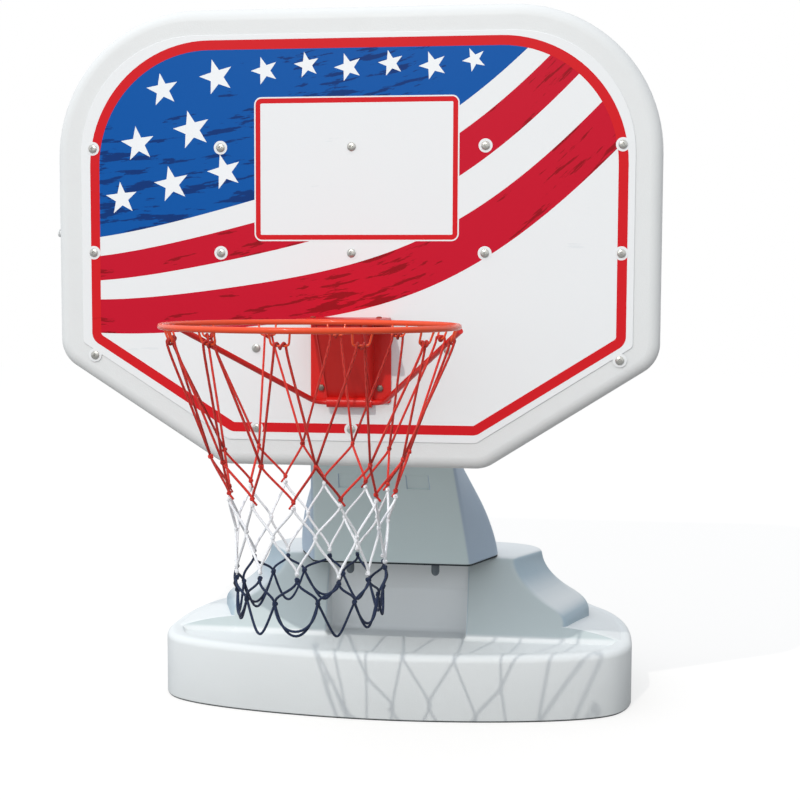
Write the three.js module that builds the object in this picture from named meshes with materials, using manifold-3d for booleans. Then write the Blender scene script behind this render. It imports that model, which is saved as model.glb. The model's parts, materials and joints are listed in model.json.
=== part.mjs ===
import * as THREE from "three";
import Module from "manifold-3d";

const wasm = await Module();
wasm.setup();

// Millimetres. X runs to the viewer's right, Y away from the viewer and Z up.
// The origin is on the floor, under the middle of the tank.

// Fits and fineness
const touchGap = 0.3;
const weldLimit = 0.001;
const cutOver = 1;
const boltClearance = 0.3;
const boltSides = 8;
const hexSides = 6;
const pegSides = 12;
const plugSides = 10;
const capSides = 20;
const ringSides = 60;
const rodSides = 8;
const hookSteps = 9;
const braceSteps = 36;
const cordSides = 4;
const bowSteps = 2;

// Backboard shell
const boardWidth = 1117.6;
const boardHeight = 838.2;
const boardBottom = 598;
const boardFaceY = -780;
const boardDepth = 50;
const boardWall = 4;
const boardTopRadius = 268;
const boardLowRadius = 60;
const boardSideFoot = 200;
const boardFootWidth = 490;
const boardFrontRound = 22;
const boardBackRound = 12;
const grooveWidth = 24;
const grooveDepth = 5;
const grooveHeight = 520;
const grooveLift = 162;
const grooveColumnShares = [0.4384, 0.7695];
// Rounded edges of the shell: shares of the rounding in depth and in inset
const shellBackShares = [0.2, 0.4];
const shellFrontShares = [[0.5, 0.14], [0.2, 0.45]];

// Printed face sheet
const panelInset = 49;
const panelThickness = 1.5;

// Face screws: rows are lifts above the board's bottom edge
const screwSideInset = 71.8;
const screwFootInset = 67;
const screwRowLifts = [586, 394];
const screwLowLift = 203;
const screwInnerLift = 219;
const screwBottomLift = 71;
const screwHeadRadius = 8;
const screwHeadHeight = 3.6;
const screwDimple = 1.4;
const screwShankRadius = 2.2;
const screwShankLength = 13;
// Dome of the head, as shares of its radius and of its height
const screwDomeShares = [[1, 0], [1, 0.3], [0.72, 0.85], [0.34, 1]];
const screwDimpleShare = 0.22;

// Vent plug in the left edge
const ventLift = 431;
const ventHeadRadius = 7.5;
const ventHeadHeight = 6;
const ventShankRadius = 5;
const ventShankLength = 12;
const ventEdgeShares = [[1, 0.6], [0.7, 1]];

// Rim
const rimInnerDiameter = 457.2;
const rimRod = 9.5;
const rimLift = 272;
const rimReach = 385;
const hookCount = 12;
const hookWire = 3.5;
const hookWidth = 30;
const hookDrop = 22;
const hookInset = 9.5;
const hookRootInset = 3;
const hookBarShare = 0.86;
const hookTension = 0.15;
const loopShare = 0.62;

// Bracket between the rim and the board
const plateWidth = 149;
const plateHeight = 157;
const plateRise = 5;
const plateThickness = 4;
const gussetOffset = 40;
const gussetTopReach = 128;
const gussetFootReach = 12;
const gussetFootLift = 10;
const gussetLip = 16;
const topBoltOffset = 60;
const topBoltReach = 52;
const sleeveRadius = 9.5;
const sleeveHalf = 42;

// Brace rod under the rim
const braceRod = 10;
const braceRimAngle = 16;
const braceRimDrop = 8;
const braceFootOffset = 62;
const braceFootLift = 2;
const braceFootReach = 12;
const braceBendRadius = 20;

// Bolts
const boltOffsetX = 54.5;
const boltFootLift = 28;
const boltTopDrop = 23;
const boltShankRadius = 4;
const boltHeadFlat = 13;
const boltHeadHeight = 5.5;
const boltTail = 5;
const nutHeight = 6.5;
const backPlateWidth = 168;
const backPlateHeight = 172;
const backPlateThickness = 3;
const towerBoltOffsetX = 135;
const towerBoltLifts = [50, 270];
const towerBoltReach = 26;
const topBoltRadius = 3;
const topBoltHeadRadius = 6;
const topBoltHeadHeight = 3.2;
const topBoltCrownShare = 0.75;

// Net: drop below the rim and radius of each row of knots
const netCord = 4;
const netKnotRadius = 4.6;
const netDrops = [203, 258, 317, 375, 418, 462];
const netRadii = [157, 134, 124, 121, 118, 113];
const netSag = 6;

// Tower between the tank and the board
const towerFootHeight = 315;
const towerKneeHeight = 620;
const towerMountGap = 60;
const towerMountHeight = 315;
const towerFootFront = -243;
const towerLeanShare = 0.619;
const towerWall = 6;
const towerFrontHalf = 177;
const towerTaperShare = 0.0912;
const towerSideBack = 138;
const towerFootDepth = 250;
const towerTopDepth = 92;
const towerEdge = 9;
// Shoulders: lift above the tower's foot and half width of each level
const shoulderLifts = [0, 42, 85, 129, 177, 225];
const shoulderHalves = [232, 227, 217, 203, 182, 160.5];
const towerBackShare = 0.8;
const flangeHalf = 152;
const flangeThickness = 12;
const stubHalf = 100;
const stubFront = -88;
const stubBack = -12;
const stubDrop = 60;
const patchOffset = 73;
const patchWidth = 50;
const patchHeight = 34;
const patchMiddle = 517;
const patchDepth = 3;
const pegOffset = 96;
const pegFront = 20;
const pegRadius = 9.5;
const pegLength = 27;
// Rounded tip of the peg, as shares of its radius and of its length
const pegTipShares = [[0.55, 0.94], [0.9, 0.78], [1, 0.6]];

// Tank
const tankHalfWidth = 536;
const tankFront = 378;
const tankBack = 350;
const tankHeight = 144;
const tankEdge = 16;
const tankFootEdge = 5;
const tankWall = 4;
const lipWidth = 34;
const deckDrop = 10;
const deckSlope = 8;
// Rounded top edge of the tank, as shares of its rounding inward and upward
const tankEdgeShares = [[0.14, 0.5], [0.5, 0.86]];
// Right half of the tank's outline from above, as shares of the half width and of the depth
const tankFrontShares = [[0, -1], [0.2924, -1], [0.8209, -0.9048], [0.9328, -0.6892]];
const tankCornerShares = [[0.9328, -0.6892], [0.9813, -0.5952], [0.9925, -0.4497]];
const tankSideShares = [[0.9925, -0.4497], [0.9981, -0.2116], [0.9981, 0.2], [0.873, 0.486]];
const tankRearShares = [[0.873, 0.486], [0.78, 0.7], [0.74, 0.98], [0.54, 0.99]];
const tankFrontSteps = 8;
const tankCornerSteps = 5;
const tankSideSteps = 4;
const tankRearSteps = 6;

// Pedestal on the tank
const pedestalFront = 180;
const pedestalLean = 66;
const pedestalTopHalf = 265;
const pedestalTopMid = 323;
const pedestalMidBack = -10;
const pedestalTopBack = 92;
const pedestalFlare = 119;
const pedestalMidFlare = 112;
const pedestalBackFlare = 106;
const pedestalFootHeight = 193;
const pedestalEdge = 12;
const pedestalBackShare = 0.45;
const pedestalSteps = 6;
const alcoveHalf = 160;
const alcoveBack = -100;
const alcoveStep = 12;
const alcoveStepHeight = 238;

// Raised decks beside the pedestal: outer edge from front to back, and steps inward and upward
const sideDeckInner = 300;
const sideDeckEdge = [[532, -180], [533, -90], [525, 0], [505, 90], [465, 175]];
const sideDeckSteps = [[22, 143], [34, 147], [50, 152], [79, 159], [112, 165], [150, 169]];
const sideDeckBackShare = 0.0016;

// Sand in the tank
const sandInset = 32;
const sandHeight = 72;

// Fill cap and drain plug
const portRadius = 24;
const capRadius = 33;
const capHeight = 12;
const capGripHeight = 12;
const capGripHalf = 22;
const capGripThickness = 8;
const capSkirt = 16;
const gasketHeight = 2.4;
const fillX = 200;
const fillY = 254;
const drainHeight = 46;
const drainX = -150;
const plugScaleShare = 0.6;

// Colours, roughness and metalness
const looks = {
  shell: { color: 0xdfe1e1, roughness: 0.55, metalness: 0 },
  panel: { color: 0xe9eaea, roughness: 0.35, metalness: 0 },
  tank: { color: 0xd3d8db, roughness: 0.6, metalness: 0 },
  tower: { color: 0xb6bfc6, roughness: 0.6, metalness: 0 },
  sand: { color: 0xc9b388, roughness: 0.95, metalness: 0 },
  rim: { color: 0xdd4a2a, roughness: 0.3, metalness: 0.1 },
  bracket: { color: 0xc8281f, roughness: 0.4, metalness: 0.1 },
  steel: { color: 0xb9bcc0, roughness: 0.35, metalness: 0.9 },
  cordRed: { color: 0xd83a30, roughness: 0.85, metalness: 0 },
  cordWhite: { color: 0xe8eaee, roughness: 0.85, metalness: 0 },
  cordNavy: { color: 0x1f2b45, roughness: 0.85, metalness: 0 },
  rubber: { color: 0x2b2d2f, roughness: 0.8, metalness: 0 },
  dark: { color: 0x5a6268, roughness: 0.6, metalness: 0 },
};

const half = (value) => value / 2;
const radians = (degrees) => (degrees * Math.PI) / 180;
const panelFaceY = boardFaceY - touchGap - panelThickness;
const plateBackY = panelFaceY - touchGap;
const plateFaceY = plateBackY - plateThickness;
const boardBackY = boardFaceY + boardDepth;
const rimCentreY = boardFaceY - rimReach;
const rimRadius = half(rimInnerDiameter + rimRod);
const deckHeight = tankHeight - deckDrop;
const rimHeight = boardBottom + rimLift;
const plateTop = rimHeight + plateRise;
const plateBottom = plateTop - plateHeight;
const towerMountBottom = plateTop + towerMountGap;
const towerMountTop = towerMountBottom + towerMountHeight;
const hookBarRadius = rimRadius - hookInset;
const hookBarHeight = rimHeight - hookDrop;

// Solid from a closed surface: corners are welded and the faces turned outward
function solidOf(geometry) {
  const flat = geometry.index ? geometry.toNonIndexed() : geometry;
  const place = flat.getAttribute("position");
  const seen = new Map();
  const points = [];
  const corners = [];
  for (let i = 0; i < place.count; i += 1) {
    const spot = [place.getX(i), place.getY(i), place.getZ(i)];
    const key = spot.map((value) => Math.round(value / weldLimit)).join(" ");
    if (!seen.has(key)) {
      seen.set(key, seen.size);
      points.push(...spot);
    }
    corners.push(seen.get(key));
  }
  const faces = [];
  let volume = 0;
  for (let i = 0; i < corners.length; i += 3) {
    const [a, b, c] = corners.slice(i, i + 3);
    if (a === b || b === c || a === c) continue;
    faces.push([a, b, c]);
    const [p, q, r] = [a, b, c].map((n) => new THREE.Vector3().fromArray(points, 3 * n));
    volume += p.dot(q.cross(r));
  }
  const turned = volume < 0 ? faces.map(([a, b, c]) => [a, c, b]) : faces;
  const triVerts = new Uint32Array(turned.flat());
  const vertProperties = new Float32Array(points);
  return new wasm.Manifold(new wasm.Mesh({ numProp: 3, vertProperties, triVerts }));
}

// Union of many solids, joined in pairs
function joined(solids) {
  if (solids.length === 1) return solids[0];
  const middle = Math.floor(solids.length / 2);
  return joined(solids.slice(0, middle)).add(joined(solids.slice(middle)));
}

// Solid with every solid of a list cut away
const cutBy = (solid, cutters) => cutters.reduce((rest, cutter) => rest.subtract(cutter), solid);

// Named mesh of a solid
function piece(group, name, solid, look) {
  const { vertProperties, triVerts, numProp } = solid.getMesh();
  const positions = [];
  for (let i = 0; i < vertProperties.length; i += numProp) {
    positions.push(...vertProperties.slice(i, i + 3));
  }
  const geometry = new THREE.BufferGeometry();
  geometry.setAttribute("position", new THREE.Float32BufferAttribute(positions, 3));
  geometry.setIndex([...triVerts]);
  const mesh = new THREE.Mesh(geometry, new THREE.MeshStandardMaterial(look));
  mesh.name = name;
  group.add(mesh);
}

// Solid stacked from rings with equal point counts; each ring is a list of [x, y, z]
function ringStack(rings) {
  const size = rings[0].length;
  const positions = [];
  const push = (...spots) => spots.forEach((spot) => positions.push(...spot));
  for (let level = 0; level + 1 < rings.length; level += 1) {
    const low = rings[level];
    const high = rings[level + 1];
    for (let i = 0; i < size; i += 1) {
      const j = (i + 1) % size;
      push(low[i], low[j], high[j], low[i], high[j], high[i]);
    }
  }
  const cap = (ring, flip) => {
    const outline = ring.map(([x, y]) => new THREE.Vector2(x, y));
    for (const [a, b, c] of THREE.ShapeUtils.triangulateShape(outline, [])) {
      push(ring[a], ...(flip ? [ring[c], ring[b]] : [ring[b], ring[c]]));
    }
  };
  cap(rings[0], true);
  cap(rings[rings.length - 1], false);
  const geometry = new THREE.BufferGeometry();
  geometry.setAttribute("position", new THREE.Float32BufferAttribute(positions, 3));
  return geometry;
}

// Box between two opposite corners
function box(low, high) {
  const size = high.map((value, i) => value - low[i]);
  const middle = high.map((value, i) => half(value + low[i]));
  return solidOf(new THREE.BoxGeometry(...size).translate(...middle));
}

// Turned solid about the Z axis from a closed profile of [radius, height]
function turned(profile, sides) {
  const line = profile.map(([radius, height]) => new THREE.Vector2(radius, height));
  return new THREE.LatheGeometry(line, sides).rotateX(Math.PI / 2).rotateZ(Math.PI / sides);
}

const rodProfile = (radius, low, high) => [[0, low], [radius, low], [radius, high], [0, high]];
const rod = (radius, low, high, sides) => turned(rodProfile(radius, low, high), sides);

// Rod along a curve
function bentRod(curve, radius, sides, steps) {
  const outline = new THREE.Shape(
    Array.from({ length: sides }, (_, i) => {
      const angle = (2 * Math.PI * i) / sides;
      return new THREE.Vector2(radius * Math.cos(angle), radius * Math.sin(angle));
    }),
  );
  return solidOf(new THREE.ExtrudeGeometry(outline, { steps, extrudePath: curve }));
}

// Corner points moved inward by an inset, each rounded with its own radius
function roundedOutline(corners, radii, steps, inset) {
  const count = corners.length;
  const at = (i) => new THREE.Vector2(...corners[(i + count) % count]);
  const inward = (i) => {
    const along = at(i + 1).sub(at(i)).normalize();
    return new THREE.Vector2(-along.y, along.x);
  };
  const points = [];
  for (let i = 0; i < count; i += 1) {
    const before = inward(i - 1);
    const after = inward(i);
    const bisector = before.clone().add(after).normalize();
    const reach = bisector.dot(after);
    const radius = Math.max(radii[i] - inset, weldLimit);
    const centre = at(i).add(bisector.clone().multiplyScalar((inset + radius) / reach));
    const start = Math.atan2(-before.y, -before.x);
    let sweep = Math.atan2(-after.y, -after.x) - start;
    if (sweep < 0) sweep += 2 * Math.PI;
    for (let step = 0; step <= steps[i]; step += 1) {
      const angle = start + (sweep * step) / steps[i];
      points.push([centre.x + radius * Math.cos(angle), centre.y + radius * Math.sin(angle)]);
    }
  }
  return points;
}

// Board outline seen from the front, as [x, z]
const boardTop = boardBottom + boardHeight;
const boardCorners = [
  [half(boardWidth), boardBottom + boardSideFoot],
  [half(boardWidth), boardTop],
  [-half(boardWidth), boardTop],
  [-half(boardWidth), boardBottom + boardSideFoot],
  [-half(boardFootWidth), boardBottom],
  [half(boardFootWidth), boardBottom],
];
const boardRadii = [
  boardLowRadius, boardTopRadius, boardTopRadius, boardLowRadius, boardLowRadius, boardLowRadius,
];
const boardSteps = [3, 9, 9, 3, 3, 3];
const boardOutline = (inset) => roundedOutline(boardCorners, boardRadii, boardSteps, inset);

// Rings standing upright: an outline of [x, z] at each Y, from the back to the front
const uprightStack = (levels) =>
  solidOf(
    ringStack(levels.map(([y, outline]) => outline.map(([x, z]) => [x, z, -y]))).rotateX(
      Math.PI / 2,
    ),
  );

// Solid moved from lying along Z to lying along Y, pointing at the viewer
const facing = (geometry, x, y, z) =>
  solidOf(geometry.clone().rotateX(Math.PI / 2).translate(x, y, z));

// Screw positions on the face
const screwSide = half(boardWidth) - screwSideInset;
const screwInner = half(boardFootWidth) - screwFootInset;
const screwSpots = [
  ...screwRowLifts.flatMap((lift) =>
    [-screwSide, -half(screwSide), 0, half(screwSide), screwSide].map((x) => [x, lift])),
  [-screwSide, screwLowLift],
  [-screwInner, screwInnerLift],
  [screwInner, screwInnerLift],
  [screwSide, screwLowLift],
  [-screwInner, screwBottomLift],
  [0, screwBottomLift],
].map(([x, lift]) => [x, boardBottom + lift]);
const boltSpots = [plateBottom + boltFootLift, plateTop - boltTopDrop].flatMap((z) => [
  [-boltOffsetX, z],
  [boltOffsetX, z],
]);
const towerBoltSpots = towerBoltLifts.flatMap((lift) => [
  [-towerBoltOffsetX, towerMountBottom + lift],
  [towerBoltOffsetX, towerMountBottom + lift],
]);

// Bores along Y at a list of spots, wider than the shank that goes through
const bores = (spots, shank, front, back) =>
  spots.map(([x, z]) => facing(rod(shank + boltClearance, -back, -front, boltSides), x, 0, z));

// Depth and inset of each ring of the shell, thinned by a wall
const shellProfile = (thin) => [
  [boardBackY - thin, boardBackRound + thin],
  [boardBackY - boardBackRound * shellBackShares[0], boardBackRound * shellBackShares[1] + thin],
  [boardBackY - boardBackRound, thin],
  [boardFaceY + boardFrontRound, thin],
  ...shellFrontShares.map(([depth, inset]) => [
    boardFaceY + boardFrontRound * depth, boardFrontRound * inset + thin,
  ]),
  [boardFaceY + thin, boardFrontRound + thin],
];

// Hollow board with grooves in its back
function boardShell() {
  const outer = uprightStack(shellProfile(0).map(([y, inset]) => [y, boardOutline(inset)]));
  const hollow = uprightStack(
    shellProfile(boardWall).map(([y, inset]) => [y, boardOutline(inset)]),
  );
  const low = boardBottom + grooveLift;
  const groove = (x, grow) =>
    box(
      [x - half(grooveWidth) - grow, boardBackY - grooveDepth - grow, low - grow],
      [x + half(grooveWidth) + grow, boardBackY + cutOver, low + grooveHeight + grow],
    );
  const columns = grooveColumnShares.flatMap((share) => [-share, share])
    .map((share) => share * half(boardWidth));
  const inside = cutBy(hollow, columns.map((x) => groove(x, boardWall)));
  const front = boardFaceY - cutOver;
  const back = boardBackY + cutOver;
  const frontHoles = bores(screwSpots, screwShankRadius, front, boardFaceY + half(boardDepth));
  const throughHoles = bores(boltSpots, boltShankRadius, front, back);
  const backHoles = bores(towerBoltSpots, boltShankRadius, boardBackY - half(boardDepth), back);
  const ventHole = solidOf(
    rod(ventShankRadius + boltClearance, 0, ventShankLength + cutOver, plugSides)
      .rotateY(Math.PI / 2)
      .translate(-half(boardWidth) - cutOver, boardBackY - half(boardDepth), boardBottom + ventLift),
  );
  return cutBy(outer, [
    inside, ...columns.map((x) => groove(x, 0)), ...frontHoles, ...throughHoles, ...backHoles,
    ventHole,
  ]);
}

// Thin printed sheet on the board's face
function facePanel() {
  const outline = boardOutline(panelInset);
  const sheet = uprightStack([
    [boardFaceY - touchGap, outline],
    [panelFaceY, outline],
  ]);
  const front = panelFaceY - cutOver;
  return cutBy(sheet, [
    ...bores(screwSpots, screwShankRadius, front, boardFaceY + cutOver),
    ...bores(boltSpots, boltShankRadius, front, boardFaceY + cutOver),
  ]);
}

// Dome-headed screw with a dimple, head toward the viewer
function faceScrew([x, z]) {
  const profile = [
    [0, -screwShankLength],
    [screwShankRadius, -screwShankLength],
    [screwShankRadius, 0],
    ...screwDomeShares.map(([out, up]) => [out * screwHeadRadius, up * screwHeadHeight]),
    [screwDimpleShare * screwHeadRadius, screwHeadHeight - screwDimple],
    [0, screwHeadHeight - screwDimple],
  ];
  return facing(turned(profile, boltSides), x, panelFaceY - touchGap, z);
}

// Plug pushed into the board's left edge
function ventPlug() {
  const profile = [
    [0, -ventShankLength],
    [ventShankRadius, -ventShankLength],
    [ventShankRadius, touchGap],
    [ventHeadRadius, touchGap],
    ...ventEdgeShares.map(([out, up]) => [out * ventHeadRadius, up * ventHeadHeight]),
    [0, ventHeadHeight],
  ];
  return solidOf(
    turned(profile, plugSides)
      .rotateY(-Math.PI / 2)
      .translate(-half(boardWidth), boardBackY - half(boardDepth), boardBottom + ventLift),
  );
}

// Point on a level circle about the rim's axis; 0 degrees is to the right, 90 toward the board
const aroundRim = (degrees, radius, height) =>
  new THREE.Vector3(
    radius * Math.cos(radians(degrees)),
    rimCentreY + radius * Math.sin(radians(degrees)),
    height,
  );

const hookAngles = Array.from({ length: hookCount }, (_, i) => (360 * i) / hookCount);
const hookSpread = (half(hookWidth) / hookBarRadius) * (180 / Math.PI);
const netSpread = hookSpread * loopShare;

// Staple of wire under the ring
function hook(degrees) {
  const root = rimRadius - hookRootInset;
  const rootHeight = rimHeight - hookWire;
  const points = [
    aroundRim(degrees - hookSpread, root, rootHeight),
    aroundRim(degrees - hookSpread, half(root + hookBarRadius), half(rootHeight + hookBarHeight)),
    aroundRim(degrees - hookSpread * hookBarShare, hookBarRadius, hookBarHeight),
    aroundRim(degrees + hookSpread * hookBarShare, hookBarRadius, hookBarHeight),
    aroundRim(degrees + hookSpread, half(root + hookBarRadius), half(rootHeight + hookBarHeight)),
    aroundRim(degrees + hookSpread, root, rootHeight),
  ];
  const path = new THREE.CatmullRomCurve3(points, false, "catmullrom", hookTension);
  return bentRod(path, half(hookWire), hexSides, hookSteps);
}

// Closed circle of [radius, height] about a point on the turning plane
function circleSection(middle, radius, sides) {
  return Array.from({ length: sides + 1 }, (_, i) => {
    const angle = (2 * Math.PI * i) / sides;
    return [middle + radius * Math.cos(angle), radius * Math.sin(angle)];
  });
}

// Ring of round rod with its staples
function rimRing() {
  const section = circleSection(rimRadius, half(rimRod), rodSides);
  const ring = solidOf(turned(section, ringSides).translate(0, rimCentreY, rimHeight));
  return joined([ring, ...hookAngles.map(hook)]);
}

// Side view of one gusset, as [y, z], drawn from the plate outward
function gussetOutline() {
  const top = plateTop - half(plateThickness);
  return [
    [plateFaceY + half(plateThickness), top],
    [plateFaceY - gussetTopReach, top],
    [plateFaceY - gussetTopReach, top - gussetLip],
    [plateFaceY - gussetFootReach, plateBottom + gussetFootLift],
    [plateFaceY + half(plateThickness), plateBottom + gussetFootLift],
  ];
}

// Plate of a side-view outline, standing between two X positions
function sidePlate(outline, left, right) {
  const shape = new THREE.Shape(outline.map(([y, z]) => new THREE.Vector2(y, z)));
  const geometry = new THREE.ExtrudeGeometry(shape, { depth: right - left, bevelEnabled: false });
  return solidOf(geometry.rotateX(Math.PI / 2).rotateZ(Math.PI / 2).translate(left, 0, 0));
}

// Round bar along X through the place where the brace crosses the bracket
const alongBrace = (radius, reach) =>
  solidOf(
    rod(radius, -reach, reach, rodSides)
      .rotateY(Math.PI / 2)
      .translate(0, plateFaceY - braceFootReach, plateBottom + braceFootLift),
  );

// Boxed bracket of bent plate: back, top, two gussets, a sloping front and a sleeve at its foot
function rimBracket() {
  const backPlate = box(
    [-half(plateWidth), plateFaceY, plateBottom],
    [half(plateWidth), plateBackY, plateTop],
  );
  const topPlate = box(
    [-half(plateWidth), rimCentreY + rimRadius + half(rimRod) + touchGap, plateTop - plateThickness],
    [half(plateWidth), plateFaceY + half(plateThickness), plateTop],
  );
  const gussets = [-gussetOffset, gussetOffset].map((x) =>
    sidePlate(gussetOutline(), x - half(plateThickness), x + half(plateThickness)),
  );
  const [, , lip, foot] = gussetOutline();
  const slope = [lip, foot, [foot[0] + plateThickness, foot[1]], [lip[0] + plateThickness, lip[1]]];
  const front = sidePlate(
    [[lip[0], plateTop - half(plateThickness)], ...slope,
      [lip[0] + plateThickness, plateTop - half(plateThickness)]],
    -gussetOffset,
    gussetOffset,
  );
  const plateHoles = bores(
    boltSpots, boltShankRadius, plateFaceY - cutOver, plateBackY + cutOver,
  );
  const topHoles = [-topBoltOffset, topBoltOffset].map((x) =>
    solidOf(
      rod(
        topBoltRadius + boltClearance, plateTop - 2 * plateThickness, plateTop + cutOver, boltSides,
      ).translate(x, plateFaceY - topBoltReach, 0),
    ),
  );
  const sleeve = alongBrace(sleeveRadius, sleeveHalf);
  const bore = alongBrace(
    (half(braceRod) + touchGap) / Math.cos(Math.PI / rodSides), sleeveHalf + cutOver,
  );
  return cutBy(
    joined([backPlate, topPlate, ...gussets, front, sleeve]), [...plateHoles, ...topHoles, bore],
  );
}

// Round-headed bolt through the bracket's top plate
function topBolt(x) {
  const profile = [
    [0, -plateThickness - topBoltHeadHeight],
    [topBoltRadius, -plateThickness - topBoltHeadHeight],
    [topBoltRadius, touchGap],
    [topBoltHeadRadius, touchGap],
    [topBoltCrownShare * topBoltHeadRadius, topBoltHeadHeight],
    [0, topBoltHeadHeight],
  ];
  return solidOf(
    turned(profile, boltSides).translate(x, plateFaceY - topBoltReach, plateTop),
  );
}

// Bent rod from one side of the ring, under the bracket, to the other side
function rimBrace() {
  const reach = half(rimRod + braceRod) + touchGap;
  const outward = Math.sqrt(reach * reach - braceRimDrop * braceRimDrop);
  const footY = plateFaceY - braceFootReach;
  const [leftEnd, rightEnd] = [180 - braceRimAngle, braceRimAngle].map((degrees) =>
    aroundRim(degrees, rimRadius + outward, rimHeight - braceRimDrop),
  );
  const [leftFoot, rightFoot] = [-braceFootOffset, braceFootOffset].map(
    (x) => new THREE.Vector3(x, footY, plateBottom + braceFootLift),
  );
  const towards = (from, to) => to.clone().sub(from).setLength(braceBendRadius).add(from);
  const path = new THREE.CurvePath();
  const bend = (from, corner, to) =>
    new THREE.QuadraticBezierCurve3(towards(corner, from), corner, towards(corner, to));
  path.add(new THREE.LineCurve3(leftEnd, towards(leftFoot, leftEnd)));
  path.add(bend(leftEnd, leftFoot, rightFoot));
  path.add(new THREE.LineCurve3(towards(leftFoot, rightFoot), towards(rightFoot, leftFoot)));
  path.add(bend(leftFoot, rightFoot, rightEnd));
  path.add(new THREE.LineCurve3(towards(rightFoot, rightEnd), rightEnd));
  return bentRod(path, half(braceRod), rodSides, braceSteps);
}

const hexRadius = half(boltHeadFlat) / Math.cos(Math.PI / hexSides);

// Hexagon-headed bolt from the bracket plate through the board
function bracketBolt([x, z]) {
  const length = boardBackY + backPlateThickness + nutHeight + boltTail - plateFaceY;
  const headY = plateFaceY - touchGap;
  return joined([
    facing(rod(hexRadius, 0, boltHeadHeight, hexSides), x, headY, z),
    facing(rod(boltShankRadius, -length, half(boltHeadHeight), boltSides), x, headY, z),
  ]);
}

const plateBack = boardBackY + touchGap + backPlateThickness;

// Hexagon nut behind the board
function bracketNut([x, z]) {
  const nutBack = plateBack + touchGap + nutHeight;
  const body = facing(rod(hexRadius, 0, nutHeight, hexSides), x, nutBack, z);
  return cutBy(body, bores([[x, z]], boltShankRadius, plateBack - cutOver, nutBack + cutOver));
}

// Plate that spreads the bolts' pull over the board's back
function backPlate() {
  const middle = half(plateBottom + plateTop);
  const sheet = box(
    [-half(backPlateWidth), boardBackY + touchGap, middle - half(backPlateHeight)],
    [half(backPlateWidth), plateBack, middle + half(backPlateHeight)],
  );
  return cutBy(
    sheet, bores(boltSpots, boltShankRadius, boardBackY - cutOver, plateBack + cutOver),
  );
}

// Cord loop round the bar of a hook
function hookLoop(degrees) {
  const reach = (half(hookWire) + touchGap) / Math.cos(Math.PI / hexSides) + half(netCord);
  const section = circleSection(reach, half(netCord), cordSides);
  const bar = aroundRim(degrees, hookBarRadius, hookBarHeight);
  const loop = turned(section, hexSides).rotateX(Math.PI / 2).rotateZ(radians(degrees));
  return { solid: solidOf(loop.translate(...bar)), foot: bar.setZ(hookBarHeight - reach) };
}

// Rows of knots alternate between standing under the hooks and between them
const rowStep = 360 / hookCount;
const knotSpot = (row, column, drop) => {
  const turn = (column + (row % 2 ? 0 : half(1))) * rowStep;
  return aroundRim(turn, netRadii[row], rimHeight - netDrops[row] - drop);
};
const knot = (spot) => solidOf(new THREE.OctahedronGeometry(netKnotRadius).translate(...spot));
const columns = Array.from({ length: hookCount }, (_, i) => i);
const colourDrop = 2 * netKnotRadius + touchGap;

// Cord between two spots, bowed outward from the net's axis
function bowedCord(from, to) {
  const middle = from.clone().lerp(to, half(1));
  const out = new THREE.Vector3(middle.x, middle.y - rimCentreY, 0).setLength(netSag);
  const curve = new THREE.QuadraticBezierCurve3(from, middle.add(out), to);
  return bentRod(curve, half(netCord), cordSides, bowSteps);
}

// Cords from every knot of a row to its two neighbours in the row below
function netBand(row, drop, cord) {
  return columns.flatMap((column) => {
    const top = knotSpot(row, column, drop);
    const sides = row % 2 ? [-1, 0] : [0, 1];
    return sides.map((side) => cord(top, knotSpot(row + 1, column + side, 0)));
  });
}

const knotRow = (row, drop) => columns.map((column) => knot(knotSpot(row, column, drop)));
const plainCord = (from, to) =>
  bentRod(new THREE.LineCurve3(from, to), half(netCord), cordSides, 1);

// Red top of the net: two loops on every hook and two rows of knots
function redNet() {
  const loops = columns.flatMap((column) =>
    [-1, 1].map((side) => {
      const { solid, foot } = hookLoop(column * rowStep + side * netSpread);
      const below = knotSpot(0, side < 0 ? column - 1 : column, 0);
      return joined([solid, plainCord(foot, below)]);
    }),
  );
  return joined([...loops, ...knotRow(0, 0), ...netBand(0, 0, plainCord), ...knotRow(1, 0)]);
}

// White middle of the net
const whiteNet = () =>
  joined([
    ...knotRow(1, colourDrop), ...netBand(1, colourDrop, plainCord), ...knotRow(2, 0),
    ...netBand(2, 0, plainCord), ...knotRow(3, 0),
  ]);

// Loose navy end of the net
const navyNet = () =>
  joined([
    ...knotRow(3, colourDrop), ...netBand(3, colourDrop, bowedCord), ...knotRow(4, 0),
    ...netBand(4, 0, bowedCord), ...knotRow(5, 0),
  ]);

// Distance of the tower's front face from the origin at a height
function towerFrontAt(z) {
  const mountY = boardBackY + touchGap;
  const kneeY = towerFootFront - towerLeanShare * (towerKneeHeight - towerFootHeight);
  if (z <= towerKneeHeight) return towerFootFront - towerLeanShare * (z - towerFootHeight);
  const share = Math.min((z - towerKneeHeight) / (towerMountBottom - towerKneeHeight), 1);
  return kneeY + (mountY - kneeY) * share;
}

const towerFrontHalfAt = (z) => towerFrontHalf - towerTaperShare * (z - towerFootHeight);
const towerDepthAt = (z) =>
  towerFootDepth +
  ((towerTopDepth - towerFootDepth) * (z - towerFootHeight)) / (towerMountTop - towerFootHeight);

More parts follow.
